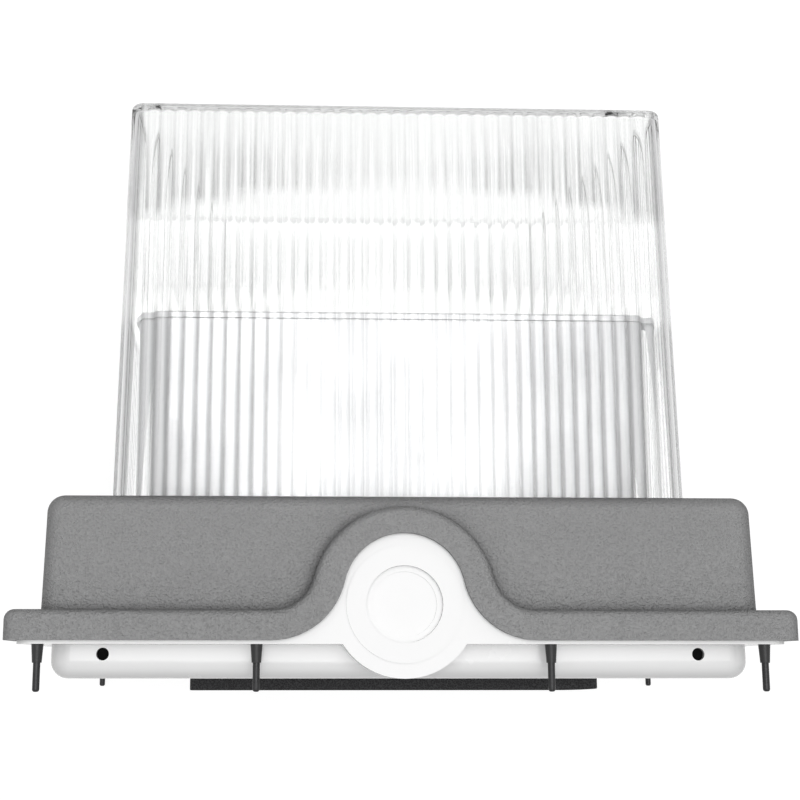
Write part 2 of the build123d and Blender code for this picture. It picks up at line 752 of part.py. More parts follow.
def ballast_coil():
    """The taped winding round the middle limb; its turned ends stand out of both faces."""
    window_length = (core_length - 3 * core_limb) / 2
    outer_length = core_limb + 2 * window_length - 2 * core_edge_gap
    winding = core_block(outer_length, core_rise - 2 * (core_limb + core_edge_gap),
                         core_stack + 2 * coil_overhang)
    winding = fillet(winding.edges().filter_by(Axis.Y), coil_corner_radius)
    return winding - core_block(core_limb + 2 * core_edge_gap, core_rise, core_stack + 2 * core_edge_gap)


def ballast_bolts():
    """Bolts through the stack, with a hexagon head on one face and a nut on the other."""
    bolts = []
    for x, out in ballast_bolts_at():
        shank = upright(ballast_bolt_radius, -core_stack / 2, core_stack / 2, x, out)
        hexagon = Pos(x, out) * RegularPolygon(ballast_bolt_head_radius, 6)
        top = extrude(facing_up(core_stack / 2 + ballast_bolt_head_height) * hexagon,
                      amount=ballast_bolt_head_height)
        bottom = extrude(facing_up(-core_stack / 2) * hexagon, amount=ballast_bolt_head_height)
        bolts.append(shank + top + bottom)
    return bolts


def capacitor_outline(grow=0):
    """The can's oval section, with its long way along Z."""
    return SlotCenterToCenter(capacitor_spread, 2 * (capacitor_radius + grow))


def capacitor_out():
    """The level of the can's axis: its belly lies on the tray."""
    return tray_top_out + capacitor_radius


def capacitor_plane(x):
    """A plane across the can at x, with its x along Z and its normal along X."""
    return Plane(origin=(x, -capacitor_out(), capacitor_z), x_dir=(0, 0, 1), z_dir=(1, 0, 0))


def capacitor():
    """An oval aluminium can that lies along the tray, with a crimped cover and two lugs."""
    start = capacitor_x - capacitor_length / 2
    end = start + capacitor_length
    can = extrude(capacitor_plane(start) * capacitor_outline(-capacitor_bead), amount=capacitor_length)
    can = fillet(can.faces().sort_by(Axis.X)[0].edges(), 2 * capacitor_bead)
    for x in (start + 2 * capacitor_bead_width, end - capacitor_bead_width):
        can = can + extrude(capacitor_plane(x) * capacitor_outline(), amount=capacitor_bead_width)
    for side in (-1, 1):
        lug = (Pos(side * (capacitor_spread / 2 + capacitor_lug_spread), 0)
               * Rectangle(capacitor_lug_thickness, capacitor_lug_width))
        can = can + extrude(capacitor_plane(end) * lug, amount=capacitor_lug_height)
    return can


def strap_half_span():
    """From the can's middle to the outside of the strap's legs."""
    return capacitor_spread / 2 + capacitor_radius - capacitor_bead + seat_gap + strap_thickness


def capacitor_strap():
    """A bent steel strap over the can, with a foot on the tray at each side."""
    start = capacitor_plane(capacitor_x - strap_width / 2)
    inside = seat_gap - capacitor_bead
    band = extrude(start * capacitor_outline(inside + strap_thickness), amount=strap_width)
    tunnel = extrude(start * capacitor_outline(inside), amount=strap_width)
    leg_rise = capacitor_out() - tray_top_out
    lower = bar(strap_width, 2 * strap_half_span(), tray_top_out - strap_thickness,
                leg_rise + strap_thickness, capacitor_x, capacitor_z)
    strap = band - tunnel - lower
    for side in (-1, 1):
        leg_z = capacitor_z + side * (strap_half_span() - strap_thickness / 2)
        foot_z = capacitor_z + side * (strap_half_span() + strap_foot / 2 - strap_thickness / 2)
        strap = strap + bar(strap_width, strap_thickness, tray_top_out, leg_rise, capacitor_x, leg_z)
        strap = strap + bar(strap_width, strap_foot + strap_thickness, tray_top_out, strap_thickness,
                            capacitor_x, foot_z)
    return one(strap - posts(small_screw_shank_radius + running_gap, tray_top_out, strap_thickness,
                             strap_screws_at()))


def strap_screws_at():
    """One screw through each foot of the strap."""
    reach = strap_half_span() + strap_foot / 2
    return [(capacitor_x, capacitor_z + side * reach) for side in (-1, 1)]


def tray_mounted_screws(places, clamped):
    """Small pan-head screws through a piece of the given thickness and the tray under it."""
    return [pan_screw(small_screw_shank_radius, small_screw_head_radius, small_screw_head_height,
                      tray_top_out + clamped, clamped + tray_thickness + small_screw_spare, x, z)
            for x, z in places]


def capacitor_screws():
    """The strap's two screws."""
    return tray_mounted_screws(strap_screws_at(), strap_thickness)


def ignitor():
    """A potted starter box with a mounting tongue under it."""
    length, height, depth = ignitor_size
    box = bar(length, height, tray_top_out, depth, ignitor_x, ignitor_z)
    box = fillet(box.edges().filter_by(Axis.Y), ignitor_edge_radius)
    box = fillet(box.faces().sort_by(Axis.Y)[0].edges(), ignitor_edge_radius * 0.4)
    tongue_length, tongue_height, tongue_thickness = ignitor_tongue
    tongue = bar(tongue_length, tongue_height, tray_top_out, tongue_thickness, ignitor_x, ignitor_z)
    tongue = tongue - posts(small_screw_shank_radius + running_gap, tray_top_out, tongue_thickness,
                            ignitor_screws_at())
    return box + tongue


def ignitor_screws_at():
    """One screw at each end of the starter's mounting tongue."""
    reach = (ignitor_size[0] + ignitor_tongue[0]) / 4
    return [(ignitor_x + side * reach, ignitor_z) for side in (-1, 1)]


def ignitor_screws():
    """The two screws that hold the starter."""
    return tray_mounted_screws(ignitor_screws_at(), ignitor_tongue[2])


def terminal_ways_at():
    """The X of each way of the terminal block."""
    pitch = terminal_size[0] / terminal_ways
    return [terminal_x + (way - (terminal_ways - 1) / 2) * pitch for way in range(terminal_ways)]


def terminal_block():
    """A terminal block with a screw well and two wire mouths for each way."""
    length, height, depth = terminal_size
    block = bar(length, height, tray_top_out, depth, terminal_x, terminal_z)
    block = fillet(block.faces().sort_by(Axis.Y)[0].edges(), terminal_edge_radius)
    for x in terminal_ways_at():
        block = block - upright(terminal_mouth_radius, terminal_z - height / 2,
                                terminal_z + height / 2, x, tray_top_out + terminal_mouth_rise)
        block = block - post(terminal_well_radius, tray_top_out + depth - terminal_well_depth,
                             terminal_well_depth, x, terminal_z)
    return block


def terminal_screws():
    """The clamping screws of the terminal block, one in each well."""
    seat = tray_top_out + terminal_size[2] - terminal_well_depth
    radius = terminal_well_radius - running_gap
    height = terminal_well_depth * 0.6
    return [post(radius, seat, height, x, terminal_z)
            - bar(2.2 * radius, terminal_screw_slot, seat + height / 2, height, x, terminal_z)
            for x in terminal_ways_at()]


def ground_screw():
    """The green earthing screw on the tray."""
    return tray_mounted_screws(ground_screw_at(), 0)


def ground_screw_at():
    """The earthing screw's place, as a list like those of the other screws."""
    return [(ground_screw_x, ground_screw_z)]


def every_tray_mounted_screw():
    """The places of every small screw that bites into the tray."""
    return strap_screws_at() + ignitor_screws_at() + ballast_screws_at() + ground_screw_at()


# ---- Reflector, socket and lamp ----------------------------------------------------------------
def reflector_shell(inset):
    """The drawn pan's solid form, drawn in by inset from its outside."""
    back = facing_out(reflector_back_out + inset) * RectangleRounded(
        reflector_back_length - 2 * inset, reflector_back_height - 2 * inset,
        reflector_corner_radius - inset)
    rim = facing_out(reflector_rim_out) * RectangleRounded(
        reflector_rim_length - 2 * inset, reflector_rim_height - 2 * inset,
        reflector_corner_radius - inset)
    return loft([back, rim])


def reflector():
    """A drawn sheet pan, open to the front, with a rolled bead round its rim."""
    pan = reflector_shell(0)
    bead = slab(reflector_rim_length + 2 * reflector_bead_radius,
                reflector_rim_height + 2 * reflector_bead_radius,
                reflector_corner_radius + reflector_bead_radius,
                reflector_rim_out - 2 * reflector_bead_radius, 2 * reflector_bead_radius)
    bead = fillet(bead.faces().sort_by(Axis.Y)[0].edges(), reflector_bead_radius * 0.7)
    pan = pan + bead - reflector_shell(reflector_sheet)
    through = (reflector_back_out - cut_over, reflector_sheet + 2 * cut_over)
    pan = pan - post(reflector_wire_hole_radius, *through, reflector_wire_hole_x, 0)
    pan = pan - posts(small_screw_shank_radius + running_gap, *through, bracket_screws_at())
    return one(pan - posts(small_screw_shank_radius + screw_hole_gap, *through,
                           corners(reflector_post_x, reflector_post_z)))


def reflector_posts():
    """Four threaded posts from the tray to the reflector's back."""
    length = reflector_back_out - tray_top_out
    return [post(reflector_post_radius, tray_top_out, length, x, z)
            - post(small_screw_shank_radius + running_gap, reflector_back_out - reflector_post_hole,
                   reflector_post_hole, x, z)
            for x, z in corners(reflector_post_x, reflector_post_z)]


def reflector_screws():
    """Four screws through the reflector into its posts."""
    reach = reflector_sheet + reflector_post_hole - small_screw_spare
    return [small_screw(x, z, reflector_back_out + reflector_sheet, reach)
            for x, z in corners(reflector_post_x, reflector_post_z)]


def socket_back_x():
    """Where the socket's base meets its bracket."""
    return lamp_cap_x + socket_base


def socket_bracket():
    """A bent steel angle: its foot lies on the reflector's back, its upright holds the socket."""
    seat = reflector_back_out + reflector_sheet
    back = socket_back_x()
    wall = bar(bracket_thickness, bracket_width, seat,
               lamp_axis_out + bracket_above_axis - seat, back + bracket_thickness / 2, 0)
    foot = bar(bracket_foot, bracket_width, seat, bracket_thickness,
               back + bracket_thickness - bracket_foot / 2, 0)
    bracket = wall + foot - posts(small_screw_shank_radius + running_gap, seat, bracket_thickness,
                                  bracket_screws_at())
    bracket = bracket - lengthwise(bracket_wire_hole_radius, back, back + bracket_thickness,
                                   lamp_axis_out, 0)
    for side in (-1, 1):
        bracket = bracket - lengthwise(socket_screw_radius + running_gap, back,
                                       back + bracket_thickness, lamp_axis_out, side * socket_screw_z)
    return bracket


def bracket_screws_at():
    """The two screws through the bracket's foot."""
    x = socket_back_x() + bracket_thickness - bracket_foot * 0.7
    return [(x, side * bracket_screw_z) for side in (-1, 1)]


def bracket_screws():
    """Two screws that hold the bracket's foot to the reflector."""
    seat = reflector_back_out + reflector_sheet + bracket_thickness
    return [small_screw(x, z, seat, bracket_thickness + reflector_sheet + small_screw_spare)
            for x, z in bracket_screws_at()]


def small_screw(x, z, seat_out, reach):
    """A small pan-head screw with its head's seat at a level."""
    return pan_screw(small_screw_shank_radius, small_screw_head_radius, small_screw_head_height,
                     seat_out, reach, x, z)


def lamp_socket():
    """The porcelain lampholder, a thick cup whose mouth faces the lamp."""
    back = socket_back_x()
    mouth = back - socket_length
    cup = lengthwise(socket_radius, mouth, back, lamp_axis_out, 0)
    cup = fillet(cup.faces().sort_by(Axis.X)[0].edges(), socket_lip_radius)
    cup = cup - lengthwise(lamp_cap_radius + running_gap, mouth, lamp_cap_x, lamp_axis_out, 0)
    for side in (-1, 1):
        cup = cup - lengthwise(socket_screw_radius + running_gap,
                               back + bracket_thickness - socket_screw_length, back,
                               lamp_axis_out, side * socket_screw_z)
    return cup


def socket_screws():
    """Two screws through the bracket into the porcelain."""
    seat = socket_back_x() + bracket_thickness
    screws = []
    for side in (-1, 1):
        z = side * socket_screw_z
        head = lengthwise(socket_screw_head_radius, seat, seat + socket_screw_head_height,
                          lamp_axis_out, z)
        head = fillet(head.faces().sort_by(Axis.X)[-1].edges(), socket_screw_head_height / 2)
        shank = lengthwise(socket_screw_radius, seat - socket_screw_length + running_gap, seat,
                           lamp_axis_out, z)
        screws.append(head + shank)
    return screws


def lamp_cap():
    """The lamp's brass screw cap with its centre contact, hollow from the glass's side."""
    shell_end = lamp_cap_x - lamp_contact_length
    open_end = lamp_cap_x - lamp_cap_length
    shell = lengthwise(lamp_cap_radius, open_end, shell_end, lamp_axis_out, 0)
    contact = lengthwise(lamp_contact_radius, shell_end, lamp_cap_x - seat_gap, lamp_axis_out, 0)
    hollow = lengthwise(lamp_cap_radius - lamp_cap_wall, open_end, shell_end - lamp_cap_wall,
                        lamp_axis_out, 0)
    return shell + contact - hollow


def bulb_form(inset):
    """The envelope's turned form, drawn in by inset from its outside and open at the cap's end."""
    cap_end = lamp_cap_x - lamp_cap_length
    neck_end = cap_end - lamp_neck_length
    shoulder = neck_end - lamp_shoulder_length
    radius = lamp_envelope_radius - inset
    neck = lamp_neck_radius - inset
    tip = cap_end - lamp_bulb_length + inset
    belly = tip + radius
    half = math.sqrt(0.5)
    axis_plane = Plane(origin=(0, -lamp_axis_out, 0), x_dir=(1, 0, 0), z_dir=(0, 0, 1))
    profile = [
        Polyline((tip, 0), (cap_end, 0), (cap_end, neck), (neck_end, neck)),
        Spline((neck_end, neck), (shoulder, radius), tangents=((-1, 0), (-1, 0))),
        Line((shoulder, radius), (belly, radius)),
        ThreePointArc((belly, radius), (belly - radius * half, radius * half), (tip, 0)),
    ]
    return revolve(axis_plane * make_face(profile), Axis((0, -lamp_axis_out, 0), (1, 0, 0)))


def lamp_envelope():
    """The lamp's coated outer bulb, a blown glass shell."""
    return bulb_form(0) - bulb_form(lamp_glass)


def arc_tube():
    """The quartz arc tube on its stem, which is fused to the mouth of the outer bulb."""
    cap_end = lamp_cap_x - lamp_cap_length
    stem_end = cap_end - lamp_stem_length
    flare = lengthwise(lamp_neck_radius - lamp_glass, cap_end - lamp_glass, cap_end, lamp_axis_out, 0)
    stem = lengthwise(lamp_stem_radius, stem_end, cap_end - lamp_glass, lamp_axis_out, 0)
    tube = lengthwise(arc_tube_radius, stem_end - arc_tube_length, stem_end, lamp_axis_out, 0)
    ends = [face.edges() for face in (tube.faces().sort_by(Axis.X)[0], tube.faces().sort_by(Axis.X)[-1])]
    tube = fillet([edge for group in ends for edge in group], arc_tube_radius * 0.6)
    return flare + stem + tube


# ---- Internal leads ----------------------------------------------------------------------------
def lead(name, route):
    """An insulated wire along straight runs joined by arcs; route holds (x, out, z) points."""
    points = [Vector(x, -out, z) for x, out, z in route]
    radii = []
    for before, at, after in zip(points, points[1:], points[2:]):
        shorter = min((at - before).length, (after - at).length)
        turn = math.radians((at - before).get_angle(after - at))
        radii.append(lead_bend_share * shorter / math.tan(turn / 2))
    print(name, "bend radii, mm:", [round(radius, 1) for radius in radii])
    path = FilletPolyline(*points, radius=radii)
    section = Plane(origin=points[0], z_dir=points[1] - points[0]) * Circle(lead_radius)
    return sweep(section, path=path)


def coil_face_z():
    """How far the winding's turned ends stand out of the core, from the core's middle."""
    return core_stack / 2 + coil_overhang


def coil_middle_out():
    """The level of the winding's middle."""
    return ballast_base_out() + core_rise / 2


def capacitor_lead():
    """From the capacitor's inner lug to the lower end of the ballast's winding."""
    lug_x = capacitor_x + capacitor_length / 2 + capacitor_lug_height + lead_end_gap
    lug_z = capacitor_z + capacitor_spread / 2 + capacitor_lug_spread
    beside = ballast_x - core_length / 2
    under = -coil_face_z() - lead_end_gap
    entry = (ballast_x - core_length / 8, coil_middle_out(), under)
    route = [(lug_x, capacitor_out(), lug_z), (beside - lead_sweep, capacitor_out() + 2, under),
             (beside + lead_sweep / 2, coil_middle_out() - lead_sweep / 2, under - lead_sweep / 2 - 4),
             (entry[0] - lead_sweep / 4, coil_middle_out(), under - lead_sweep / 2 - 6), entry]
    return lead("capacitor_lead", route)


def ignitor_lead():
    """From the starter's side into the first mouth of the terminal block."""
    start = (ignitor_x + ignitor_size[0] / 2 + lead_end_gap, tray_top_out + ignitor_size[2] / 2,
             ignitor_z + 4)
    mouth_out = tray_top_out + terminal_mouth_rise
    mouth = (terminal_ways_at()[0], mouth_out, terminal_z - terminal_size[1] / 2 + 3)
    before = mouth[2] - lead_straight
    return lead("ignitor_lead", [start, (start[0] + lead_straight, start[1] - 1.5, start[2] + 1),
                                 (mouth[0] - 2, mouth_out + 1.5, before - lead_straight / 2),
                                 (mouth[0], mouth_out, before + 1), mouth])


def ballast_lead():
    """From the last mouth of the terminal block to the upper end of the ballast's winding."""
    mouth_out = tray_top_out + terminal_mouth_rise
    mouth = (terminal_ways_at()[-1], mouth_out, terminal_z - terminal_size[1] / 2 + 3)
    over = coil_face_z() + lead_end_gap
    entry = (ballast_x - core_length / 7, coil_middle_out(), over)
    route = [mouth, (mouth[0], mouth_out, mouth[2] - lead_straight),
             (mouth[0] + lead_straight, mouth_out + 7.5, over + 3.5),
             (entry[0] - lead_sweep * 0.8, coil_middle_out() - 6.5, over + 13.5),
             (entry[0] - 2, coil_middle_out() + 1, over + 12.5), entry]
    return lead("ballast_lead", route)


def socket_lead():
    """From the winding, through the reflector's back and the bracket, to the lampholder's back."""
    coil_top = coil_middle_out() + core_rise / 2 - core_limb - core_edge_gap + lead_end_gap
    start = (ballast_x + core_length / 8, coil_top, coil_face_z() - coil_overhang / 2)
    over = reflector_wire_hole_x
    route = [start, (start[0] + 3, coil_top + lead_sweep, start[2] + 2),
             (over - 3, reflector_back_out - lead_straight, lead_straight - 2),
             (over, reflector_back_out + 6, 0), (over + 1, lamp_axis_out - 2, 1),
             (socket_back_x() + lead_end_gap, lamp_axis_out, 0)]
    return lead("socket_lead", route)


# ---- Build -------------------------------------------------------------------------------------
save("wall_gasket", wall_gasket())
save("back_housing", back_housing())
save("side_hole_plugs", *side_hole_plugs())
save("screw_sleeves", *screw_sleeves())
save("hub_plug", hub_plug())
save("hub_seal", hub_seal())
save("front_cover", front_cover())
save("cover_screws", *cover_screws())
save("cover_gasket", *cover_gasket())
save("refractor", refractor())
save("lens_gasket", lens_gasket())
save("lens_retainer", lens_retainer())
save("lens_screws", *lens_screws())
save("gear_tray", gear_tray())
save("tray_screws", *tray_screws())
save("ballast_base", ballast_base())
save("ballast_core", ballast_core())
save("ballast_coil", ballast_coil())
save("ballast_bolts", *ballast_bolts())
save("ballast_screws", *ballast_screws())
save("capacitor", capacitor())
save("capacitor_strap", capacitor_strap())
save("capacitor_screws", *capacitor_screws())
save("ignitor", ignitor())
save("ignitor_screws", *ignitor_screws())
save("terminal_block", terminal_block())
save("terminal_screws", *terminal_screws())
save("ground_screw", *ground_screw())
save("reflector", reflector())
save("reflector_posts", *reflector_posts())
save("reflector_screws", *reflector_screws())
save("socket_bracket", socket_bracket())
save("bracket_screws", *bracket_screws())
save("lamp_socket", lamp_socket())
save("socket_screws", *socket_screws())
save("lamp_cap", lamp_cap())
save("lamp_envelope", lamp_envelope())
save("arc_tube", arc_tube())
save("capacitor_lead", capacitor_lead())
save("ignitor_lead", ignitor_lead())
save("ballast_lead", ballast_lead())
save("socket_lead", socket_lead())
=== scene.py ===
import math

import bmesh
import bpy
import numpy as np
from mathutils import Matrix, Vector


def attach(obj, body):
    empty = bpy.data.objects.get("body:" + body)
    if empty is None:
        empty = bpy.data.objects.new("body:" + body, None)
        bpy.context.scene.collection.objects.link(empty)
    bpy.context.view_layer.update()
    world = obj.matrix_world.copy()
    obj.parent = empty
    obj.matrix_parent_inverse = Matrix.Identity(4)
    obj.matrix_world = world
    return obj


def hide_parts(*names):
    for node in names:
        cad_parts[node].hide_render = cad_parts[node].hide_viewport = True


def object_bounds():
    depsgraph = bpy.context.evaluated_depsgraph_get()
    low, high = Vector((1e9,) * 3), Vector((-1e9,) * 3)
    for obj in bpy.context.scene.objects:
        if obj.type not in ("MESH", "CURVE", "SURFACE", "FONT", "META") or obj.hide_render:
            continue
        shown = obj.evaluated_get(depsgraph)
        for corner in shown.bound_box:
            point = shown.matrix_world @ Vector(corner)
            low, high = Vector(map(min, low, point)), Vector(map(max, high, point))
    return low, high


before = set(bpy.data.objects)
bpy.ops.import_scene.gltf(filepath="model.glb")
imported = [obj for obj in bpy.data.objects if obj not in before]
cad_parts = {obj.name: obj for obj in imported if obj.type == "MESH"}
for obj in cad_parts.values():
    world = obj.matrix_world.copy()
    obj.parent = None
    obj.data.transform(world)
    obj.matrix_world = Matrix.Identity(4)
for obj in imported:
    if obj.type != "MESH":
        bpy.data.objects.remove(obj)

cad_low, cad_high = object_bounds()
mm = 0.001

# ---- The studio --------------------------------------------------------------------------------
# The light stands on a plain pale floor, under one large soft lamp overhead and one in front.
# The camera looks down on its top side from a little behind it, as the photograph does.
camera_data = bpy.data.cameras.new("camera")
camera_data.sensor_width = 36.0
camera_data.lens = 64.25
camera_data.shift_x = 0.06
camera_data.clip_start = 0.01
camera = bpy.data.objects.new("camera", camera_data)
bpy.context.scene.collection.objects.link(camera)
bpy.context.scene.camera = camera

camera_place = Vector((48.1, -10.5, 757.0)) * mm
camera_yaw = math.radians(2.184)
camera_pitch = math.radians(10.649)
sight = Vector((-math.sin(camera_yaw) * math.cos(camera_pitch), -math.sin(camera_pitch),
                -math.cos(camera_yaw) * math.cos(camera_pitch)))
sideways = sight.cross(Vector((0, -1, 0))).normalized()
axes = Matrix((sideways, sideways.cross(sight), -sight)).transposed().to_4x4()
camera.matrix_world = Matrix.Translation(camera_place) @ axes


def shader_node(tree, kind, sockets=(), **settings):
    """A new shader node, with the values of its input sockets and its own settings."""
    made = tree.nodes.new("ShaderNode" + kind)
    for name, value in settings.items():
        setattr(made, name, value)
    for name, value in dict(sockets).items():
        made.inputs[name].default_value = value
    return made


def seen_by_camera(tree):
    """1 for what the camera sees directly, in gloss or through glass, and 0 for other light."""
    path = shader_node(tree, "LightPath")
    total = path.outputs["Is Camera Ray"]
    for ray in ("Is Glossy Ray", "Is Transmission Ray"):
        add = shader_node(tree, "Math", operation="MAXIMUM")
        tree.links.new(total, add.inputs[0])
        tree.links.new(path.outputs[ray], add.inputs[1])
        total = add.outputs[0]
    return total


def studio_world():
    """A white surround for the camera, and for the object a weaker light that comes from above.

    The light's strength rises evenly with the height of the direction it comes from.
    """
    world = bpy.data.worlds.new("studio")
    bpy.context.scene.world = world
    world.use_nodes = True
    tree = world.node_tree
    tree.nodes.clear()
    sky = shader_node(tree, "Background", {"Color": (1, 1, 1, 1)})
    split = shader_node(tree, "SeparateXYZ")
    rise = shader_node(tree, "MapRange", {"To Min": 0.12, "To Max": 0.74})
    tree.links.new(shader_node(tree, "TexCoord").outputs["Generated"], split.inputs[0])
    tree.links.new(split.outputs["Z"], rise.inputs["Value"])
    tree.links.new(rise.outputs[0], sky.inputs["Strength"])
    white = shader_node(tree, "Background", {"Color": (1, 1, 1, 1), "Strength": 1.0})
    mix = shader_node(tree, "MixShader")
    out = shader_node(tree, "OutputWorld")
    tree.links.new(seen_by_camera(tree), mix.inputs[0])
    tree.links.new(sky.outputs[0], mix.inputs[1])
    tree.links.new(white.outputs[0], mix.inputs[2])
    tree.links.new(mix.outputs[0], out.inputs["Surface"])


def studio_floor(level, half):
    """A square floor under the light, white to the camera except in the light's own shadow."""
    mesh = bpy.data.meshes.new("floor")
    corners = [(-half, -half, level), (half, -half, level), (half, half, level), (-half, half, level)]
    mesh.from_pydata(corners, [], [(0, 1, 2, 3)])
    floor = bpy.data.objects.new("floor", mesh)
    bpy.context.scene.collection.objects.link(floor)
    material = bpy.data.materials.new("pale floor")
    material.use_nodes = True
    tree = material.node_tree
    tree.nodes.clear()
    plain = shader_node(tree, "BsdfDiffuse", {"Color": (0.8, 0.8, 0.8, 1)})
    shaded = shader_node(tree, "BsdfDiffuse", {"Color": (0.3, 0.3, 0.3, 1)})
    glow = shader_node(tree, "Emission", {"Color": (1, 1, 1, 1), "Strength": 0.84})
    both = shader_node(tree, "AddShader")
    mix = shader_node(tree, "MixShader")
    out = shader_node(tree, "OutputMaterial")
    tree.links.new(shaded.outputs[0], both.inputs[0])
    tree.links.new(glow.outputs[0], both.inputs[1])
    tree.links.new(seen_by_camera(tree), mix.inputs[0])
    tree.links.new(plain.outputs[0], mix.inputs[1])
    tree.links.new(both.outputs[0], mix.inputs[2])
    tree.links.new(mix.outputs[0], out.inputs["Surface"])
    mesh.materials.append(material)


def soft_lamp(name, place, aim, size, watts):
    """A square area lamp that faces a point."""
    data = bpy.data.lights.new(name, "AREA")
    data.size = size
    data.energy = watts
    lamp = bpy.data.objects.new(name, data)
    lamp.location = place
    lamp.rotation_euler = (Vector(aim) - Vector(place)).to_track_quat("-Z", "Y").to_euler()
    bpy.context.scene.collection.objects.link(lamp)


studio_world()
studio_floor(cad_low.z - 0.5 * mm, 6.0)
soft_lamp("overhead lamp", (-0.05, -0.2, 2.0), (0, -0.12, 0), 1.3, 14.5)
soft_lamp("front lamp", (-0.9, -2.0, 0.9), (0, -0.15, 0), 1.2, 2.5)
bpy.context.scene.view_settings.view_transform = "Standard"
bpy.context.scene.cycles.max_bounces = 32
bpy.context.scene.cycles.transmission_bounces = 32
bpy.context.scene.cycles.glossy_bounces = 12


# ---- Foam wall gasket --------------------------------------------------------------------------
# A die-cut pad of closed-cell foam that seals the wire entry against the wall.
# It is glued to the housing's back; one end has been pressed a little thinner.
def rounded_loop(half_x, half_z, radius, count):
    """count points round a rectangle with round corners: x, z and the outward unit normal.

    A point's place along the loop runs through four quarter circles about the corner centres and
    the four straight sides between them, in proportion to their lengths.
    """
    side_x, side_z, quarter = 2 * (half_x - radius), 2 * (half_z - radius), math.pi / 2 * radius
    lengths = np.array([quarter, side_x, quarter, side_z] * 2)
    ends = np.concatenate([[0], np.cumsum(lengths)])
    s = np.arange(count) / count * ends[-1]
    part = np.clip(np.searchsorted(ends, s, side="right") - 1, 0, 7)
    share = (s - ends[part]) / lengths[part]
    corner = part // 2
    turned = (part % 2 == 0)
    angle = (corner + np.where(turned, share, 1.0)) * math.pi / 2
    centre_x = np.array([1, -1, -1, 1]) * (half_x - radius)
    centre_z = np.array([1, 1, -1, -1]) * (half_z - radius)
    following = (corner + 1) % 4
    slide = np.where(turned, 0.0, share)
    x = centre_x[corner] * (1 - slide) + centre_x[following] * slide + radius * np.cos(angle)
    z = centre_z[corner] * (1 - slide) + centre_z[following] * slide + radius * np.sin(angle)
    return x, z, np.cos(angle), np.sin(angle)


def skin(name, rings, body, closed=False, smooth_angle=35.0):
    """A closed surface through rings of points, given as an array of (ring, point, xyz).

    Neighbouring rings are joined by quads and each ring closes on itself. The last ring joins the
    first where closed is true; otherwise one flat face closes each end.
    """
    levels, count, _ = rings.shape
    index = np.arange(levels * count).reshape(levels, count)
    here = index if closed else index[:-1]
    above = np.roll(index, -1, axis=0) if closed else index[1:]
    quads = np.stack([here, np.roll(here, -1, axis=1), np.roll(above, -1, axis=1), above], axis=-1)
    faces = quads.reshape(-1, 4).tolist()
    if not closed:
        faces += [index[0][::-1].tolist(), index[-1].tolist()]
    mesh = bpy.data.meshes.new(name)
    mesh.from_pydata(rings.reshape(-1, 3).tolist(), [], faces)
    shell = bmesh.new()
    shell.from_mesh(mesh)
    bmesh.ops.recalc_face_normals(shell, faces=shell.faces)
    shell.to_mesh(mesh)
    shell.free()
    mesh.polygons.foreach_set("use_smooth", np.ones(len(mesh.polygons), bool))
    mesh.set_sharp_from_angle(angle=math.radians(smooth_angle))
    piece = bpy.data.objects.new(name, mesh)
    bpy.context.scene.collection.objects.link(piece)
    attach(piece, body)
    return piece


def variation_group():
    """The unevenness that every finish has: soft patches in its colour and its gloss, and a grain.

    The colour is multiplied by 1 plus Drift times a noise between -1 and 1, the roughness moves by
    Spread times a second noise, and Height is a fine noise at Grain cells a metre.
    """
    tree = bpy.data.node_groups.new("uneven finish", "ShaderNodeTree")
    for name, kind in (("Color", "Color"), ("Drift", "Float"), ("Patch", "Float"),
                       ("Roughness", "Float"), ("Spread", "Float"), ("Grain", "Float")):
        tree.interface.new_socket(name, in_out="INPUT", socket_type="NodeSocket" + kind)
    for name, kind in (("Color", "Color"), ("Roughness", "Float"), ("Height", "Float")):
        tree.interface.new_socket(name, in_out="OUTPUT", socket_type="NodeSocket" + kind)
    given = tree.nodes.new("NodeGroupInput")
    result = tree.nodes.new("NodeGroupOutput")
    place = shader_node(tree, "TexCoord").outputs["Object"]

    def noise(scale_from, detail, low, high):
        """A noise on the object's own coordinates, spread to run from low to high."""
        texture = shader_node(tree, "TexNoise", {"Detail": detail, "Roughness": 0.55})
        spread = shader_node(tree, "MapRange", {"From Min": 0.3, "From Max": 0.7, "To Min": low,
                                                "To Max": high})
        tree.links.new(place, texture.inputs["Vector"])
        tree.links.new(given.outputs[scale_from], texture.inputs["Scale"])
        tree.links.new(texture.outputs["Fac"], spread.inputs["Value"])
        return spread.outputs["Result"]

    patches = noise("Patch", 4.0, -1.0, 1.0)
    grain = noise("Grain", 2.0, 0.0, 1.0)
    shade = shader_node(tree, "Math", {2: 1.0}, operation="MULTIPLY_ADD")
    tree.links.new(patches, shade.inputs[0])
    tree.links.new(given.outputs["Drift"], shade.inputs[1])
    tint = shader_node(tree, "VectorMath", operation="SCALE")
    tree.links.new(given.outputs["Color"], tint.inputs[0])
    tree.links.new(shade.outputs[0], tint.inputs["Scale"])
    gloss = shader_node(tree, "Math", operation="MULTIPLY_ADD")
    tree.links.new(patches, gloss.inputs[0])
    tree.links.new(given.outputs["Spread"], gloss.inputs[1])
    tree.links.new(given.outputs["Roughness"], gloss.inputs[2])
    tree.links.new(tint.outputs["Vector"], result.inputs["Color"])
    tree.links.new(gloss.outputs[0], result.inputs["Roughness"])
    tree.links.new(grain, result.inputs["Height"])
    return tree


uneven_finish = variation_group()


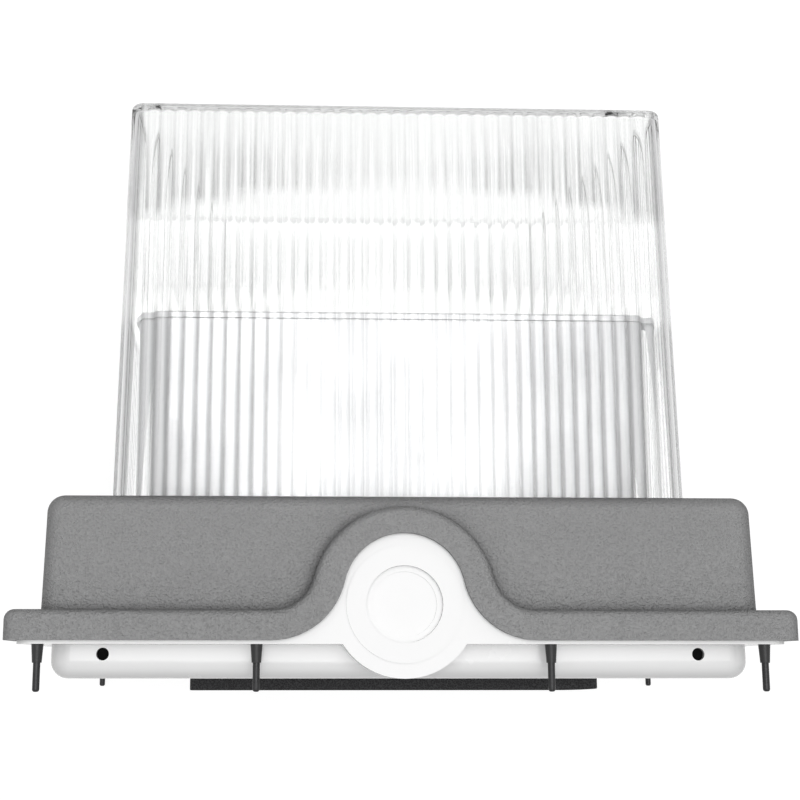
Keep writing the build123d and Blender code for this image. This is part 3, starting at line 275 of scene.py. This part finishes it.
def finish(name, color, roughness, grain, depth, drift=0.05, patch=30.0, spread=0.05, shader=()):
    """A material with uneven colour, gloss and a fine grain of depth metres; returns its parts."""
    material = bpy.data.materials.new(name)
    material.use_nodes = True
    tree = material.node_tree
    surface = tree.nodes["Principled BSDF"]
    for socket, value in dict(shader).items():
        surface.inputs[socket].default_value = value
    uneven = shader_node(tree, "Group", node_tree=uneven_finish)
    values = {"Color": (*color, 1), "Drift": drift, "Patch": patch, "Roughness": roughness,
              "Spread": spread, "Grain": grain}
    for socket, value in values.items():
        uneven.inputs[socket].default_value = value
    bump = shader_node(tree, "Bump", {"Distance": depth, "Strength": 1.0})
    tree.links.new(uneven.outputs["Color"], surface.inputs["Base Color"])
    tree.links.new(uneven.outputs["Roughness"], surface.inputs["Roughness"])
    tree.links.new(uneven.outputs["Height"], bump.inputs["Height"])
    tree.links.new(bump.outputs["Normal"], surface.inputs["Normal"])
    return material, tree, surface, uneven, bump


def foam_pad():
    """The pad: rings that run over its wall face, its edge, its housing face and back by the hole.

    Each ring is the outline drawn in by an inset, or the hole's circle. Both edges are rounded by
    a quarter circle, and a slow wave along the outline stands for the die cut. Toward the end at
    -X the wall face is lifted by a depth that grows with the square of the way along.
    """
    count, half_x, half_z, thick, hole = 288, 100.25 * mm, 45.0 * mm, 6.0 * mm, 11.0 * mm
    soft, flat_from, cut_wave = 0.6 * mm, 6.0 * mm, 0.12 * mm
    pressed_from, pressed_to, pressed_depth = 80.0 * mm, 101.5 * mm, 0.8 * mm
    steps = np.linspace(0, math.pi / 2, 5)
    profile = [(flat_from, 0.0)] + [(soft * (1 - math.sin(a)), soft * (1 - math.cos(a))) for a in steps]
    profile += [(soft * (1 - math.cos(a)), thick - soft * (1 - math.sin(a))) for a in steps]
    profile += [(flat_from, thick)]
    rings = []
    for inset, out in profile:
        x, z, nx, nz = rounded_loop(half_x - inset, half_z - inset, 2.0 * mm, count)
        turn = np.arange(count) / count * 2 * math.pi
        wave = cut_wave * (np.sin(9 * turn) + 0.6 * np.sin(23 * turn + 1) - 1.6)
        rings.append(np.stack([x + nx * wave, np.full(count, -out), z + nz * wave], axis=-1))
    angle = np.arctan2(rings[0][:, 2], rings[0][:, 0])
    for out in (thick, 0.0):
        rings.append(np.stack([hole * np.cos(angle), np.full(count, -out), hole * np.sin(angle)], axis=-1))
    rings = np.array(rings)
    pressed = np.clip((-rings[..., 0] - pressed_from) / (pressed_to - pressed_from), 0, 1)
    rings[..., 1] -= pressed_depth * pressed ** 2 * (1 + rings[..., 1] / thick)
    return skin("foam_pad", rings, "housing", closed=True, smooth_angle=50)


def foam_material():
    """Black foam with open cut cells: small round pits, and paler cell walls between them."""
    material, tree, surface, uneven, bump = finish("black foam", (0.012, 0.012, 0.013), 0.92, 2600.0,
                                                   0.12 * mm, drift=0.2, patch=300.0)
    place = shader_node(tree, "TexCoord").outputs["Object"]
    cells = shader_node(tree, "TexVoronoi", {"Scale": 1500.0, "Randomness": 1.0})
    walls = shader_node(tree, "MapRange", {"From Min": 0.2, "From Max": 0.75})
    mix = shader_node(tree, "Mix", data_type="RGBA")
    mix.inputs["B"].default_value = (0.055, 0.055, 0.057, 1)
    add = shader_node(tree, "Math", operation="ADD")
    tree.links.new(place, cells.inputs["Vector"])
    tree.links.new(cells.outputs["Distance"], walls.inputs["Value"])
    tree.links.new(walls.outputs["Result"], mix.inputs["Factor"])
    tree.links.new(uneven.outputs["Color"], mix.inputs["A"])
    tree.links.new(mix.outputs["Result"], surface.inputs["Base Color"])
    tree.links.new(walls.outputs["Result"], add.inputs[0])
    tree.links.new(uneven.outputs["Height"], add.inputs[1])
    tree.links.new(add.outputs[0], bump.inputs["Height"])
    return material


pad = foam_pad()
pad.data.materials.append(foam_material())
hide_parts("wall_gasket")


# ---- Back housing ------------------------------------------------------------------------------
# A shallow die-cast aluminium box with a rim for the cover and a threaded conduit hub on top.
# It is powder coated in gloss white, which flows smooth with hardly any orange peel.
def dress(material, *nodes):
    """Gives CAD nodes a material in place of the plain one they came with."""
    for name in nodes:
        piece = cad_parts[name]
        for holder in piece.material_slots:
            holder.link = "OBJECT"
            holder.material = material


def painted_shade_at_grazing(tree, surface, share):
    """Scales the base colour down, by up to share, where the coat is seen at a low angle: painted shade on
    edges that turn away from the light.
    """
    facing = shader_node(tree, "LayerWeight", {"Blend": 0.5})
    fall = shader_node(tree, "MapRange", {"From Min": 0.1, "From Max": 0.9, "To Min": 1.0,
                                          "To Max": 1.0 - share})
    scale = shader_node(tree, "VectorMath", operation="SCALE")
    tree.links.new(facing.outputs["Facing"], fall.inputs["Value"])
    tree.links.new(surface.inputs["Base Color"].links[0].from_socket, scale.inputs[0])
    tree.links.new(fall.outputs[0], scale.inputs["Scale"])
    tree.links.new(scale.outputs["Vector"], surface.inputs["Base Color"])


white_coat, white_tree, white_surface, _, _ = finish(
    "gloss white powder coat", (0.9, 0.9, 0.9), 0.24, 420.0, 0.006 * mm, drift=0.012, spread=0.04,
    shader={"Coat Weight": 0.35, "Coat Roughness": 0.12})
# Painted shade: the white coat is darker where it is seen at a low angle.
painted_shade_at_grazing(white_tree, white_surface, 0.3)
dress(white_coat, "back_housing")


# ---- Side hole plugs ---------------------------------------------------------------------------
# Small black rubber plugs pressed into the two weep holes in the top of the box.
# They sit below the face. Their rubber is made darker and duller than rubber is, a painted shade, so that
# only a dark round hole shows from outside.
dress(finish("black plug rubber and painted hole shade", (0.003, 0.003, 0.003), 0.8, 1800.0, 0.02 * mm, drift=0.15,
             shader={"Specular IOR Level": 0.1})[0], "side_hole_plugs")


# ---- Screw sleeves -----------------------------------------------------------------------------
# Tapered sleeves of dark rubber pushed up through the rim, which grip the screws and keep
# water out. Each is moulded, with a neck in the rim's hole and a thin lip at its free end.
sleeve_rubber = finish("dark grey rubber", (0.011, 0.011, 0.0115), 0.4, 1500.0, 0.05 * mm,
                       drift=0.2, patch=160.0)[0]
dress(sleeve_rubber, "screw_sleeves")


# ---- Gear tray and zinc hardware ---------------------------------------------------------------
# The tray is folded from zinc plated sheet and carries the control gear on the housing's posts.
# Screws, bolts, straps and brackets are plated too; rolled sheet shows faint straight lines.
def rolled_lines(material, tree, uneven, bump, stretch, scale, share):
    """Adds lines of rolled or drawn metal: a noise squeezed along two axes, added to the grain."""
    place = shader_node(tree, "TexCoord").outputs["Object"]
    squeeze = shader_node(tree, "Mapping", {"Scale": stretch})
    lines = shader_node(tree, "TexNoise", {"Scale": scale, "Detail": 3.0})
    add = shader_node(tree, "Math", {1: share}, operation="MULTIPLY_ADD")
    tree.links.new(place, squeeze.inputs["Vector"])
    tree.links.new(squeeze.outputs["Vector"], lines.inputs["Vector"])
    tree.links.new(lines.outputs["Fac"], add.inputs[0])
    tree.links.new(uneven.outputs["Height"], add.inputs[2])
    tree.links.new(add.outputs[0], bump.inputs["Height"])
    return material


def zinc(name, color, roughness, stretch):
    """Zinc plate over rolled steel: a cool grey metal with cloudy patches and rolled lines."""
    material, tree, _, uneven, bump = finish(name, color, roughness, 900.0, 0.012 * mm, drift=0.12,
                                             patch=55.0, spread=0.1, shader={"Metallic": 1.0})
    return rolled_lines(material, tree, uneven, bump, stretch, 420.0, 1.4)


zinc_sheet = zinc("zinc plated sheet", (0.6, 0.61, 0.63), 0.36, (0.06, 1.0, 1.0))
zinc_screw = zinc("zinc plated screw", (0.62, 0.62, 0.62), 0.3, (1.0, 0.3, 1.0))
dress(zinc_sheet, "gear_tray", "ballast_base", "capacitor_strap", "reflector_posts", "socket_bracket",
      "lens_retainer")
dress(zinc_screw, "tray_screws", "ballast_bolts", "ballast_screws", "capacitor_screws",
      "ignitor_screws", "reflector_screws", "bracket_screws", "socket_screws", "lens_screws")


# ---- Ballast -----------------------------------------------------------------------------------
# A stack of thin steel laminations, bolted at its corners and dipped in dark varnish, with a
# taped copper winding round its middle limb. The edges of the sheets show as fine lines.
def lamination_steel():
    """Varnished steel sheets half a millimetre thick, stacked along Z: a saw-tooth of that pitch."""
    material, tree, _, uneven, bump = finish("varnished laminations", (0.075, 0.07, 0.066), 0.34, 700.0,
                                             0.09 * mm, drift=0.25, patch=70.0, spread=0.12,
                                             shader={"Metallic": 0.6, "Coat Weight": 0.4})
    place = shader_node(tree, "TexCoord").outputs["Object"]
    split = shader_node(tree, "SeparateXYZ")
    pitch = shader_node(tree, "Math", {1: 1 / (0.5 * mm)}, operation="MULTIPLY")
    sheet = shader_node(tree, "Math", {1: 1.0}, operation="PINGPONG")
    edge = shader_node(tree, "Math", {1: 0.5}, operation="POWER")
    add = shader_node(tree, "Math", {1: 0.25}, operation="MULTIPLY_ADD")
    tree.links.new(place, split.inputs[0])
    tree.links.new(split.outputs["Z"], pitch.inputs[0])
    tree.links.new(pitch.outputs[0], sheet.inputs[0])
    tree.links.new(sheet.outputs[0], edge.inputs[0])
    tree.links.new(uneven.outputs["Height"], add.inputs[0])
    tree.links.new(edge.outputs[0], add.inputs[2])
    tree.links.new(add.outputs[0], bump.inputs["Height"])
    return material


def winding_tape():
    """Amber varnished tape wrapped in overlapping turns: soft steps across the winding."""
    material, tree, surface, uneven, bump = finish("varnished winding tape", (0.5, 0.3, 0.075), 0.36,
                                                   600.0, 0.25 * mm, drift=0.25, patch=90.0,
                                                   spread=0.1, shader={"Coat Weight": 0.5})
    place = shader_node(tree, "TexCoord").outputs["Object"]
    wraps = shader_node(tree, "TexWave", {"Scale": 21.0, "Distortion": 1.2, "Detail Scale": 3.0},
                        wave_type="BANDS", bands_direction="X", wave_profile="SAW")
    add = shader_node(tree, "Math", {1: 0.3}, operation="MULTIPLY_ADD")
    tree.links.new(place, wraps.inputs["Vector"])
    tree.links.new(uneven.outputs["Height"], add.inputs[0])
    tree.links.new(wraps.outputs["Fac"], add.inputs[2])
    tree.links.new(add.outputs[0], bump.inputs["Height"])
    return material


dress(lamination_steel(), "ballast_core")
dress(winding_tape(), "ballast_coil")


# ---- Capacitor ---------------------------------------------------------------------------------
# An oval can of drawn aluminium with a crimped cover and two lugs, strapped down on the tray.
can_metal, can_tree, _, can_uneven, can_bump = finish(
    "drawn aluminium can", (0.78, 0.79, 0.8), 0.28, 800.0, 0.01 * mm, drift=0.05, patch=60.0,
    spread=0.08, shader={"Metallic": 1.0})
rolled_lines(can_metal, can_tree, can_uneven, can_bump, (0.04, 1.0, 1.0), 500.0, 1.5)
dress(can_metal, "capacitor")


# ---- Ignitor and terminal block ----------------------------------------------------------------
# The starter is potted in a black moulded case with a mounting tongue. The terminal block is
# off-white moulded plastic with brass clamping screws, and the earthing screw is dyed green.
dress(finish("black moulded case", (0.022, 0.022, 0.024), 0.38, 1300.0, 0.02 * mm, drift=0.15)[0],
      "ignitor")
dress(finish("off-white moulded plastic", (0.74, 0.72, 0.65), 0.42, 900.0, 0.012 * mm, drift=0.03)[0],
      "terminal_block")
brass = finish("bright brass", (0.72, 0.5, 0.2), 0.26, 900.0, 0.012 * mm, drift=0.12, patch=120.0,
               spread=0.08, shader={"Metallic": 1.0})[0]
dress(brass, "terminal_screws", "lamp_cap")
dress(finish("green dyed screw", (0.02, 0.25, 0.06), 0.3, 900.0, 0.01 * mm, drift=0.15,
             shader={"Metallic": 0.7})[0], "ground_screw")


# ---- Leads -------------------------------------------------------------------------------------
# Stranded wire in coloured heat-proof insulation, cut to length between the gear's terminals.
def insulation(name, color):
    """Drawn insulation with a dull sheen and faint marks from handling."""
    return finish(name, color, 0.46, 1400.0, 0.015 * mm, drift=0.1, patch=200.0)[0]


dress(insulation("red insulation", (0.42, 0.025, 0.02)), "capacitor_lead")
dress(insulation("blue insulation", (0.03, 0.09, 0.36)), "ignitor_lead")
dress(insulation("black insulation", (0.02, 0.02, 0.022)), "ballast_lead")
dress(insulation("white insulation", (0.78, 0.78, 0.75)), "socket_lead")


# ---- Reflector ---------------------------------------------------------------------------------
# A pan drawn from bright aluminium sheet with a rolled bead round its rim, open to the front.
# Four screws hold it to posts on the gear tray; the drawing leaves a faint satin grain.
reflector_metal = finish("bright satin aluminium", (0.76, 0.76, 0.77), 0.5, 500.0, 0.02 * mm, drift=0.03,
                         patch=18.0, spread=0.06, shader={"Metallic": 0.85})[0]
dress(reflector_metal, "reflector")


# ---- Lampholder and lamp -----------------------------------------------------------------------
# The lampholder is a thick cup of glazed white porcelain on a steel angle. The lamp has a brass
# screw cap and an outer bulb of blown glass with a white coating; its arc tube is fused quartz.
dress(finish("glazed porcelain", (0.86, 0.85, 0.81), 0.16, 500.0, 0.008 * mm, drift=0.03,
             shader={"Coat Weight": 0.6, "Coat Roughness": 0.05})[0], "lamp_socket")
dress(finish("coated lamp glass", (0.9, 0.9, 0.88), 0.22, 1200.0, 0.004 * mm, drift=0.02,
             shader={"Coat Weight": 0.8, "Coat Roughness": 0.04, "Transmission Weight": 0.25})[0],
      "lamp_envelope")
dress(finish("fused quartz", (0.95, 0.95, 0.95), 0.05, 300.0, 0.002 * mm, drift=0.01, spread=0.01,
             shader={"Transmission Weight": 1.0, "IOR": 1.46})[0], "arc_tube")


# ---- Front cover -------------------------------------------------------------------------------
# The die-cast cover over the gear, with a flange round it and a band arched over the hub.
# It wears a grey powder coat with an orange peel, coarser on the body next to the flange.
def peel_coat():
    """Grey powder coat: fine rounded bumps, and coarse wrinkles on the body next to the flange.

    The colour is multiplied by the bumps' noise and by the share of open sky within 5 mm of the surface, a
    painted shade that makes creases and the joins between parts come out darker. The colour is also
    darkened where the coat is seen at a low angle, a painted shade on its edges.
    """
    material, tree, surface, uneven, bump = finish("grey orange peel coat", (0.315, 0.315, 0.317), 0.5,
                                                   1700.0, 1.3 * mm, drift=0.04, patch=25.0, spread=0.06)
    place = shader_node(tree, "TexCoord").outputs["Object"]
    split = shader_node(tree, "SeparateXYZ")
    wrinkles_from, wrinkles_full = 62 * mm, 42 * mm
    near_flange = shader_node(tree, "MapRange", {"From Min": -wrinkles_from, "From Max": -wrinkles_full,
                                                 "To Max": 0.9})
    bumps = shader_node(tree, "TexNoise", {"Scale": 950.0, "Detail": 1.5, "Roughness": 0.5})
    wrinkles = shader_node(tree, "TexNoise", {"Scale": 520.0, "Detail": 2.0, "Roughness": 0.5})
    rough = shader_node(tree, "Math", operation="MULTIPLY_ADD")
    add = shader_node(tree, "Math", {1: 0.05}, operation="MULTIPLY_ADD")
    tree.links.new(place, split.inputs[0])
    tree.links.new(split.outputs["Y"], near_flange.inputs["Value"])
    tree.links.new(place, bumps.inputs["Vector"])
    tree.links.new(place, wrinkles.inputs["Vector"])
    tree.links.new(wrinkles.outputs["Fac"], rough.inputs[0])
    tree.links.new(near_flange.outputs[0], rough.inputs[1])
    tree.links.new(bumps.outputs["Fac"], rough.inputs[2])
    tree.links.new(uneven.outputs["Height"], add.inputs[0])
    tree.links.new(rough.outputs[0], add.inputs[2])
    tree.links.new(add.outputs[0], bump.inputs["Height"])
    pits = shader_node(tree, "MapRange", {"From Min": 0.32, "From Max": 0.68, "To Min": 0.91,
                                          "To Max": 1.07})
    # Painted shade: the colour is darkened where little open sky lies near, in creases and at joins.
    painted_shade_ao = shader_node(tree, "AmbientOcclusion", {"Distance": 5.0 * mm}, samples=6, only_local=True)
    crease = shader_node(tree, "MapRange", {"From Min": 0.4, "From Max": 0.95, "To Min": 0.4,
                                            "To Max": 1.0})
    both = shader_node(tree, "Math", operation="MULTIPLY")
    tint = shader_node(tree, "VectorMath", operation="SCALE")
    tree.links.new(bumps.outputs["Fac"], pits.inputs["Value"])
    tree.links.new(painted_shade_ao.outputs["AO"], crease.inputs["Value"])
    tree.links.new(pits.outputs[0], both.inputs[0])
    tree.links.new(crease.outputs[0], both.inputs[1])
    tree.links.new(uneven.outputs["Color"], tint.inputs[0])
    tree.links.new(both.outputs[0], tint.inputs["Scale"])
    tree.links.new(tint.outputs["Vector"], surface.inputs["Base Color"])
    # Painted shade: the grey coat is darker where it is seen at a low angle.
    painted_shade_at_grazing(tree, surface, 0.65)
    return material


dress(peel_coat(), "front_cover")


# ---- Cover gasket ------------------------------------------------------------------------------
# A flat die-cut rubber gasket between the rim and the cover. The hub plug's washer is of the
# same black rubber, dusted with a little talc.
dress(finish("black moulded rubber", (0.016, 0.016, 0.017), 0.6, 1800.0, 0.02 * mm, drift=0.15)[0],
      "cover_gasket", "hub_seal")


# ---- Refractor ---------------------------------------------------------------------------------
# A deep box of clear moulded glass with prism ribs along its four sides and a plain front.
# A lip at its open end is clamped inside the cover, on a soft gasket.
lens_half_x, lens_half_z = 134.8 * mm, 93.5 * mm
lens_root, lens_front = 89.2 * mm, 284.6 * mm
lens_slope = math.tan(math.radians(0.94))
lens_corner, lens_wall, lens_front_wall = 7.0 * mm, 3.0 * mm, 3.4 * mm
lens_edge, lens_inner_edge = 2.2 * mm, 1.5 * mm
lip_back, lip_face, lip_reach = 80.5 * mm, 84.0 * mm, (8.0 * mm, 3.6 * mm)
rib_pitch, rib_height, rib_root = 6.65 * mm, 0.75 * mm, 0.5 * mm
rib_run_out, plain_ends = 3.5 * mm, 18.0 * mm


def fluted_loop(half_x, half_z, radius, ribbed):
    """One ring round the lens: its points, each one's place on its rib, and its place on its side.

    The straight sides are sampled at fixed places, twelve to a rib, so that the ribs of all rings
    line up. Between the last rib and the corner, and round the corner, the places are even. A
    rib's height is that of a circle's segment over its width, and 0 in the flat between two ribs.
    The place on the rib is 0 midway between two ribs and 0.5 on a crown or on plain glass. The
    place on the side runs from 0 in its middle to 1 at its corners.
    """
    steps = 12
    parts = []
    for turn, (half, other) in enumerate(((half_z, half_x), (half_x, half_z)) * 2):
        full = lens_half_z if turn % 2 == 0 else lens_half_x
        count = int((2 * full - plain_ends) // rib_pitch)
        zone = count * rib_pitch / 2
        inner = np.linspace(-zone, zone, count * steps + 1)
        across = (inner + zone) / rib_pitch % 1.0 - 0.5
        chord = (rib_pitch - rib_root) / 2
        bow = (chord ** 2 + rib_height ** 2) / (2 * rib_height)
        off = np.clip(np.abs(across * rib_pitch), 0, chord)
        rib = np.sqrt(bow ** 2 - off ** 2) - (bow - rib_height)
        end = half - radius
        reach = min(zone, end - 1.0 * mm)
        plain = np.linspace(reach, end, 5)[1:]
        along = np.concatenate([-plain[::-1], inner * reach / zone, plain])
        height = np.concatenate([plain * 0, np.clip(rib, 0, None), plain * 0])
        place = np.concatenate([plain * 0 + 0.5, 0.5 - np.abs(across), plain * 0 + 0.5])
        angle = turn * math.pi / 2
        quarter = angle + np.linspace(0, math.pi / 2, 10)[1:-1]
        side = np.stack([np.full(len(along), other), along], -1)
        arc_centre = np.array([other - radius, end])
        local = quarter - angle
        arc = arc_centre + radius * np.stack([np.cos(local), np.sin(local)], -1)
        points = np.concatenate([side, arc])
        normal = np.concatenate([np.tile([1.0, 0.0], (len(along), 1)),
                                 np.stack([np.cos(local), np.sin(local)], -1)])
        c, s = math.cos(angle), math.sin(angle)
        spin = np.array([[c, s], [-s, c]])
        raised = points + normal * (np.concatenate([height, quarter * 0]) * ribbed)[:, None]
        parts.append((raised @ spin, np.concatenate([place, quarter * 0 + 0.5]),
                      np.concatenate([np.abs(along) / half, quarter * 0 + 1.0])))
    return [np.concatenate([part[i] for part in parts]) for i in range(3)]


def refractor_glass():
    """The rings of the glass: from the front down the ribbed outside, then up the inside again.

    Each ring is the lens's outline at a level out, drawn in by the draft and by an inset. The
    ribs start at the cover's front and end in a short run-out under the rounded front edge. With
    each point go its place on its rib and its place on its side. Caps close the plate's two faces.
    The levels lie closest where the glass changes from clear to the grey of its painted shade.
    """
    rings = []

    def ring(out, inset, ribbed=0.0, grow=(0.0, 0.0)):
        """Adds one ring at a level out, drawn in by inset, with a share of the ribs' height."""
        drawn = max(out - lens_root, 0.0) * lens_slope + inset
        half_x, half_z = lens_half_x - drawn + grow[0], lens_half_z - drawn + grow[1]
        flat, place, reach = fluted_loop(half_x, half_z, max(lens_corner - inset + min(grow), 0.5 * mm),
                                         ribbed)
        rings.append(np.stack([flat[:, 0], np.full(len(flat), -out), flat[:, 1], place, reach], -1))

    ring(lip_back, 0.0, grow=lip_reach)
    ring(lip_face, 0.0, grow=lip_reach)
    ring(lip_face, 0.0)
    for share, out in ((0.0, 0.0), (0.0, 0.05), (0.9, 0.2), (1.0, 0.6)):
        ring(lens_root + out * mm, 0.0, share)
    rib_end = lens_front - rib_run_out
    for out in (120, 150, 172, 179, 186, 205, 219, 225, 231, 237, 243, 249, 258, 270):
        ring(out * mm, 0.0, 1.0)
    for share, back in ((1.0, 4.0), (0.8, 2.0), (0.4, 0.7), (0.0, 0.0)):
        ring(rib_end - back * mm, 0.0, share)
    for step in np.linspace(0, math.pi / 2, 7):
        ring(lens_front - lens_edge * (1 - math.sin(step)), lens_edge * (1 - math.cos(step)))
    for inset in (6.0, 20.0, 45.0, 70.0):
        ring(lens_front, inset * mm)
    outside = np.array(rings)[::-1]
    rings.clear()
    inner_front = lens_front - lens_front_wall
    for inset in (70.0, 45.0, 20.0, 6.5):
        ring(inner_front, inset * mm)
    for step in np.linspace(math.pi / 2, 0, 5):
        ring(inner_front - lens_inner_edge * (1 - math.sin(step)),
             lens_wall + lens_inner_edge * (1 - math.cos(step)))
    for out in (270, 249, 243, 237, 231, 225, 205, 186, 179, 172, 150, 120):
        ring(out * mm, lens_wall)
    ring(lens_root, lens_wall)
    ring(lip_back, lens_wall)
    return np.concatenate([outside, np.array(rings)[::-1]])


def ease(value, low, high):
    """0 below low, 1 above high, and a smooth step between them."""
    share = np.clip((value - low) / (high - low), 0, 1)
    return share * share * (3 - 2 * share)


def refractor_skin():
    """The refractor with what its glass needs to know: where painted shade greys it, and how wide the
    bands are.

    The lower shade is painted on the band of ribs nearest the cover, stronger toward the corners. The
    upper shade is painted on the part in front of an arch that is highest in the middle, and fades toward
    the front. The edge shade is painted on the glass that is looked through endways: the corners and the
    rim of the front plate. All three are painted shade, grey in place of the darker parts seen through the
    ribs. The plate's own two faces, further inward than the walls, are clear.
    """
    rings = refractor_glass()
    piece = skin("clear_refractor", rings[..., :3], "cover", smooth_angle=32)
    out, place, reach = (-rings[..., 1] / mm).ravel(), rings[..., 3].ravel(), rings[..., 4].ravel()
    arch_crown, arch_drop, band_end = 243, 17, 174
    arch = arch_crown - arch_drop * reach ** 2
    painted_shade_low = ease(reach, 0.3, 0.52) * (1 - 0.5 * ease(reach, 0.85, 0.95))
    painted_shade_low *= 1 - ease(out, band_end, band_end + 11)
    painted_shade_high = ease(out, arch - 3, arch + 3) * (1 - 0.7 * ease(out, arch, 284))
    painted_shade_high *= 0.45 + 0.55 * ease(reach, 0.1, 0.6)
    inward = np.minimum(lens_half_x - abs(rings[..., 0]), lens_half_z - abs(rings[..., 2])).ravel() / mm
    wall = 1 - ease(inward, 6.4, 8.4)
    edge = np.maximum(ease(reach, 0.965, 0.99), 0.5 * ease(out, 280.6, 281.6))
    # Painted shade: the grey bands, streaks and edges of the glass, for the darker parts seen through the
    # ribs.
    for name, values in (("rib_place", place), ("rib_width", 0.14 + 0.24 * reach), ("painted_shade_low", painted_shade_low),
                         ("painted_shade_high", painted_shade_high * wall), ("edge", edge * wall)):
        layer = piece.data.attributes.new(name, "FLOAT", "POINT")
        layer.data.foreach_set("value", values.astype(np.float32))
    return piece


def lens_glass():
    """Clear moulded glass with painted shade: greyer in bands between the ribs, in fine streaks and at its
    edges, in place of the darker parts seen through it.
    """
    material, tree, surface, uneven, _ = finish(
        "clear moulded glass", (0.99, 0.995, 0.992), 0.02, 260.0, 0.004 * mm, drift=0.01, spread=0.01,
        shader={"Transmission Weight": 1.0, "IOR": 1.5, "Specular IOR Level": 0.3})

    def known(name):
        """One of the values that the glass's points carry."""
        return shader_node(tree, "Attribute", attribute_name=name).outputs["Fac"]

    def sum_of(terms):
        """The sum of products, each of a socket and either a number or a second socket."""
        total = None
        for first, second in terms:
            step = shader_node(tree, "Math", operation="MULTIPLY_ADD")
            tree.links.new(first, step.inputs[0])
            if isinstance(second, float):
                step.inputs[1].default_value = second
            else:
                tree.links.new(second, step.inputs[1])
            if total is None:
                step.inputs[2].default_value = 0.0
            else:
                tree.links.new(total, step.inputs[2])
            total = step.outputs[0]
        return total

    band = shader_node(tree, "MapRange", {"From Min": 0.0, "To Min": 1.0, "To Max": 0.0},
                       interpolation_type="SMOOTHSTEP")
    tree.links.new(known("rib_place"), band.inputs["Value"])
    tree.links.new(known("rib_width"), band.inputs["From Max"])
    place = shader_node(tree, "TexCoord").outputs["Object"]
    squeeze = shader_node(tree, "Mapping", {"Scale": (1.0, 0.012, 1.0)})
    streak = shader_node(tree, "TexNoise", {"Scale": 700.0, "Detail": 2.0})
    sharp = shader_node(tree, "MapRange", {"From Min": 0.4, "From Max": 0.65})
    tree.links.new(place, squeeze.inputs["Vector"])
    tree.links.new(squeeze.outputs["Vector"], streak.inputs["Vector"])
    tree.links.new(streak.outputs["Fac"], sharp.inputs["Value"])
    painted_shade_zones = sum_of([(known("painted_shade_low"), 1.0), (known("painted_shade_high"), 0.6)])
    soft = sum_of([(known("painted_shade_high"), 0.7)])
    shade = sum_of([(band.outputs[0], painted_shade_zones), (soft, sharp.outputs[0]),
                    (known("edge"), 0.7)])
    # Painted shade: the glass is tinted grey where the bands, streaks and edges ask for it.
    mix = shader_node(tree, "Mix", data_type="RGBA", clamp_factor=True)
    mix.inputs["B"].default_value = (0.5, 0.5, 0.504, 1)
    tree.links.new(shade, mix.inputs["Factor"])
    tree.links.new(uneven.outputs["Color"], mix.inputs["A"])
    tree.links.new(mix.outputs["Result"], surface.inputs["Base Color"])
    return material


refractor = refractor_skin()
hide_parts("refractor")
refractor.data.materials.append(lens_glass())


# ---- Lens gasket -------------------------------------------------------------------------------
# A frame of translucent white silicone between the lens's lip and the cover.
dress(finish("white silicone", (0.68, 0.68, 0.65), 0.5, 900.0, 0.01 * mm, drift=0.04,
             shader={"Subsurface Weight": 0.2, "Subsurface Scale": 0.002})[0], "lens_gasket")


# ---- Cover screws ------------------------------------------------------------------------------
# Eight long captive screws of dark oiled steel, sunk in the flange, with rounded tips.
dark_steel = finish("dark oiled steel", (0.035, 0.035, 0.036), 0.34, 1500.0, 0.04 * mm, drift=0.3,
                    patch=250.0, spread=0.15, shader={"Metallic": 0.7})[0]
dress(dark_steel, "cover_screws")


# ---- Hub plug ----------------------------------------------------------------------------------
# A closure plug moulded in gloss white plastic, screwed into the hub over its sealing washer.
dress(finish("gloss white plastic", (0.9, 0.9, 0.9), 0.2, 380.0, 0.004 * mm, drift=0.01,
             shader={"Coat Weight": 0.3, "Coat Roughness": 0.08})[0], "hub_plug")
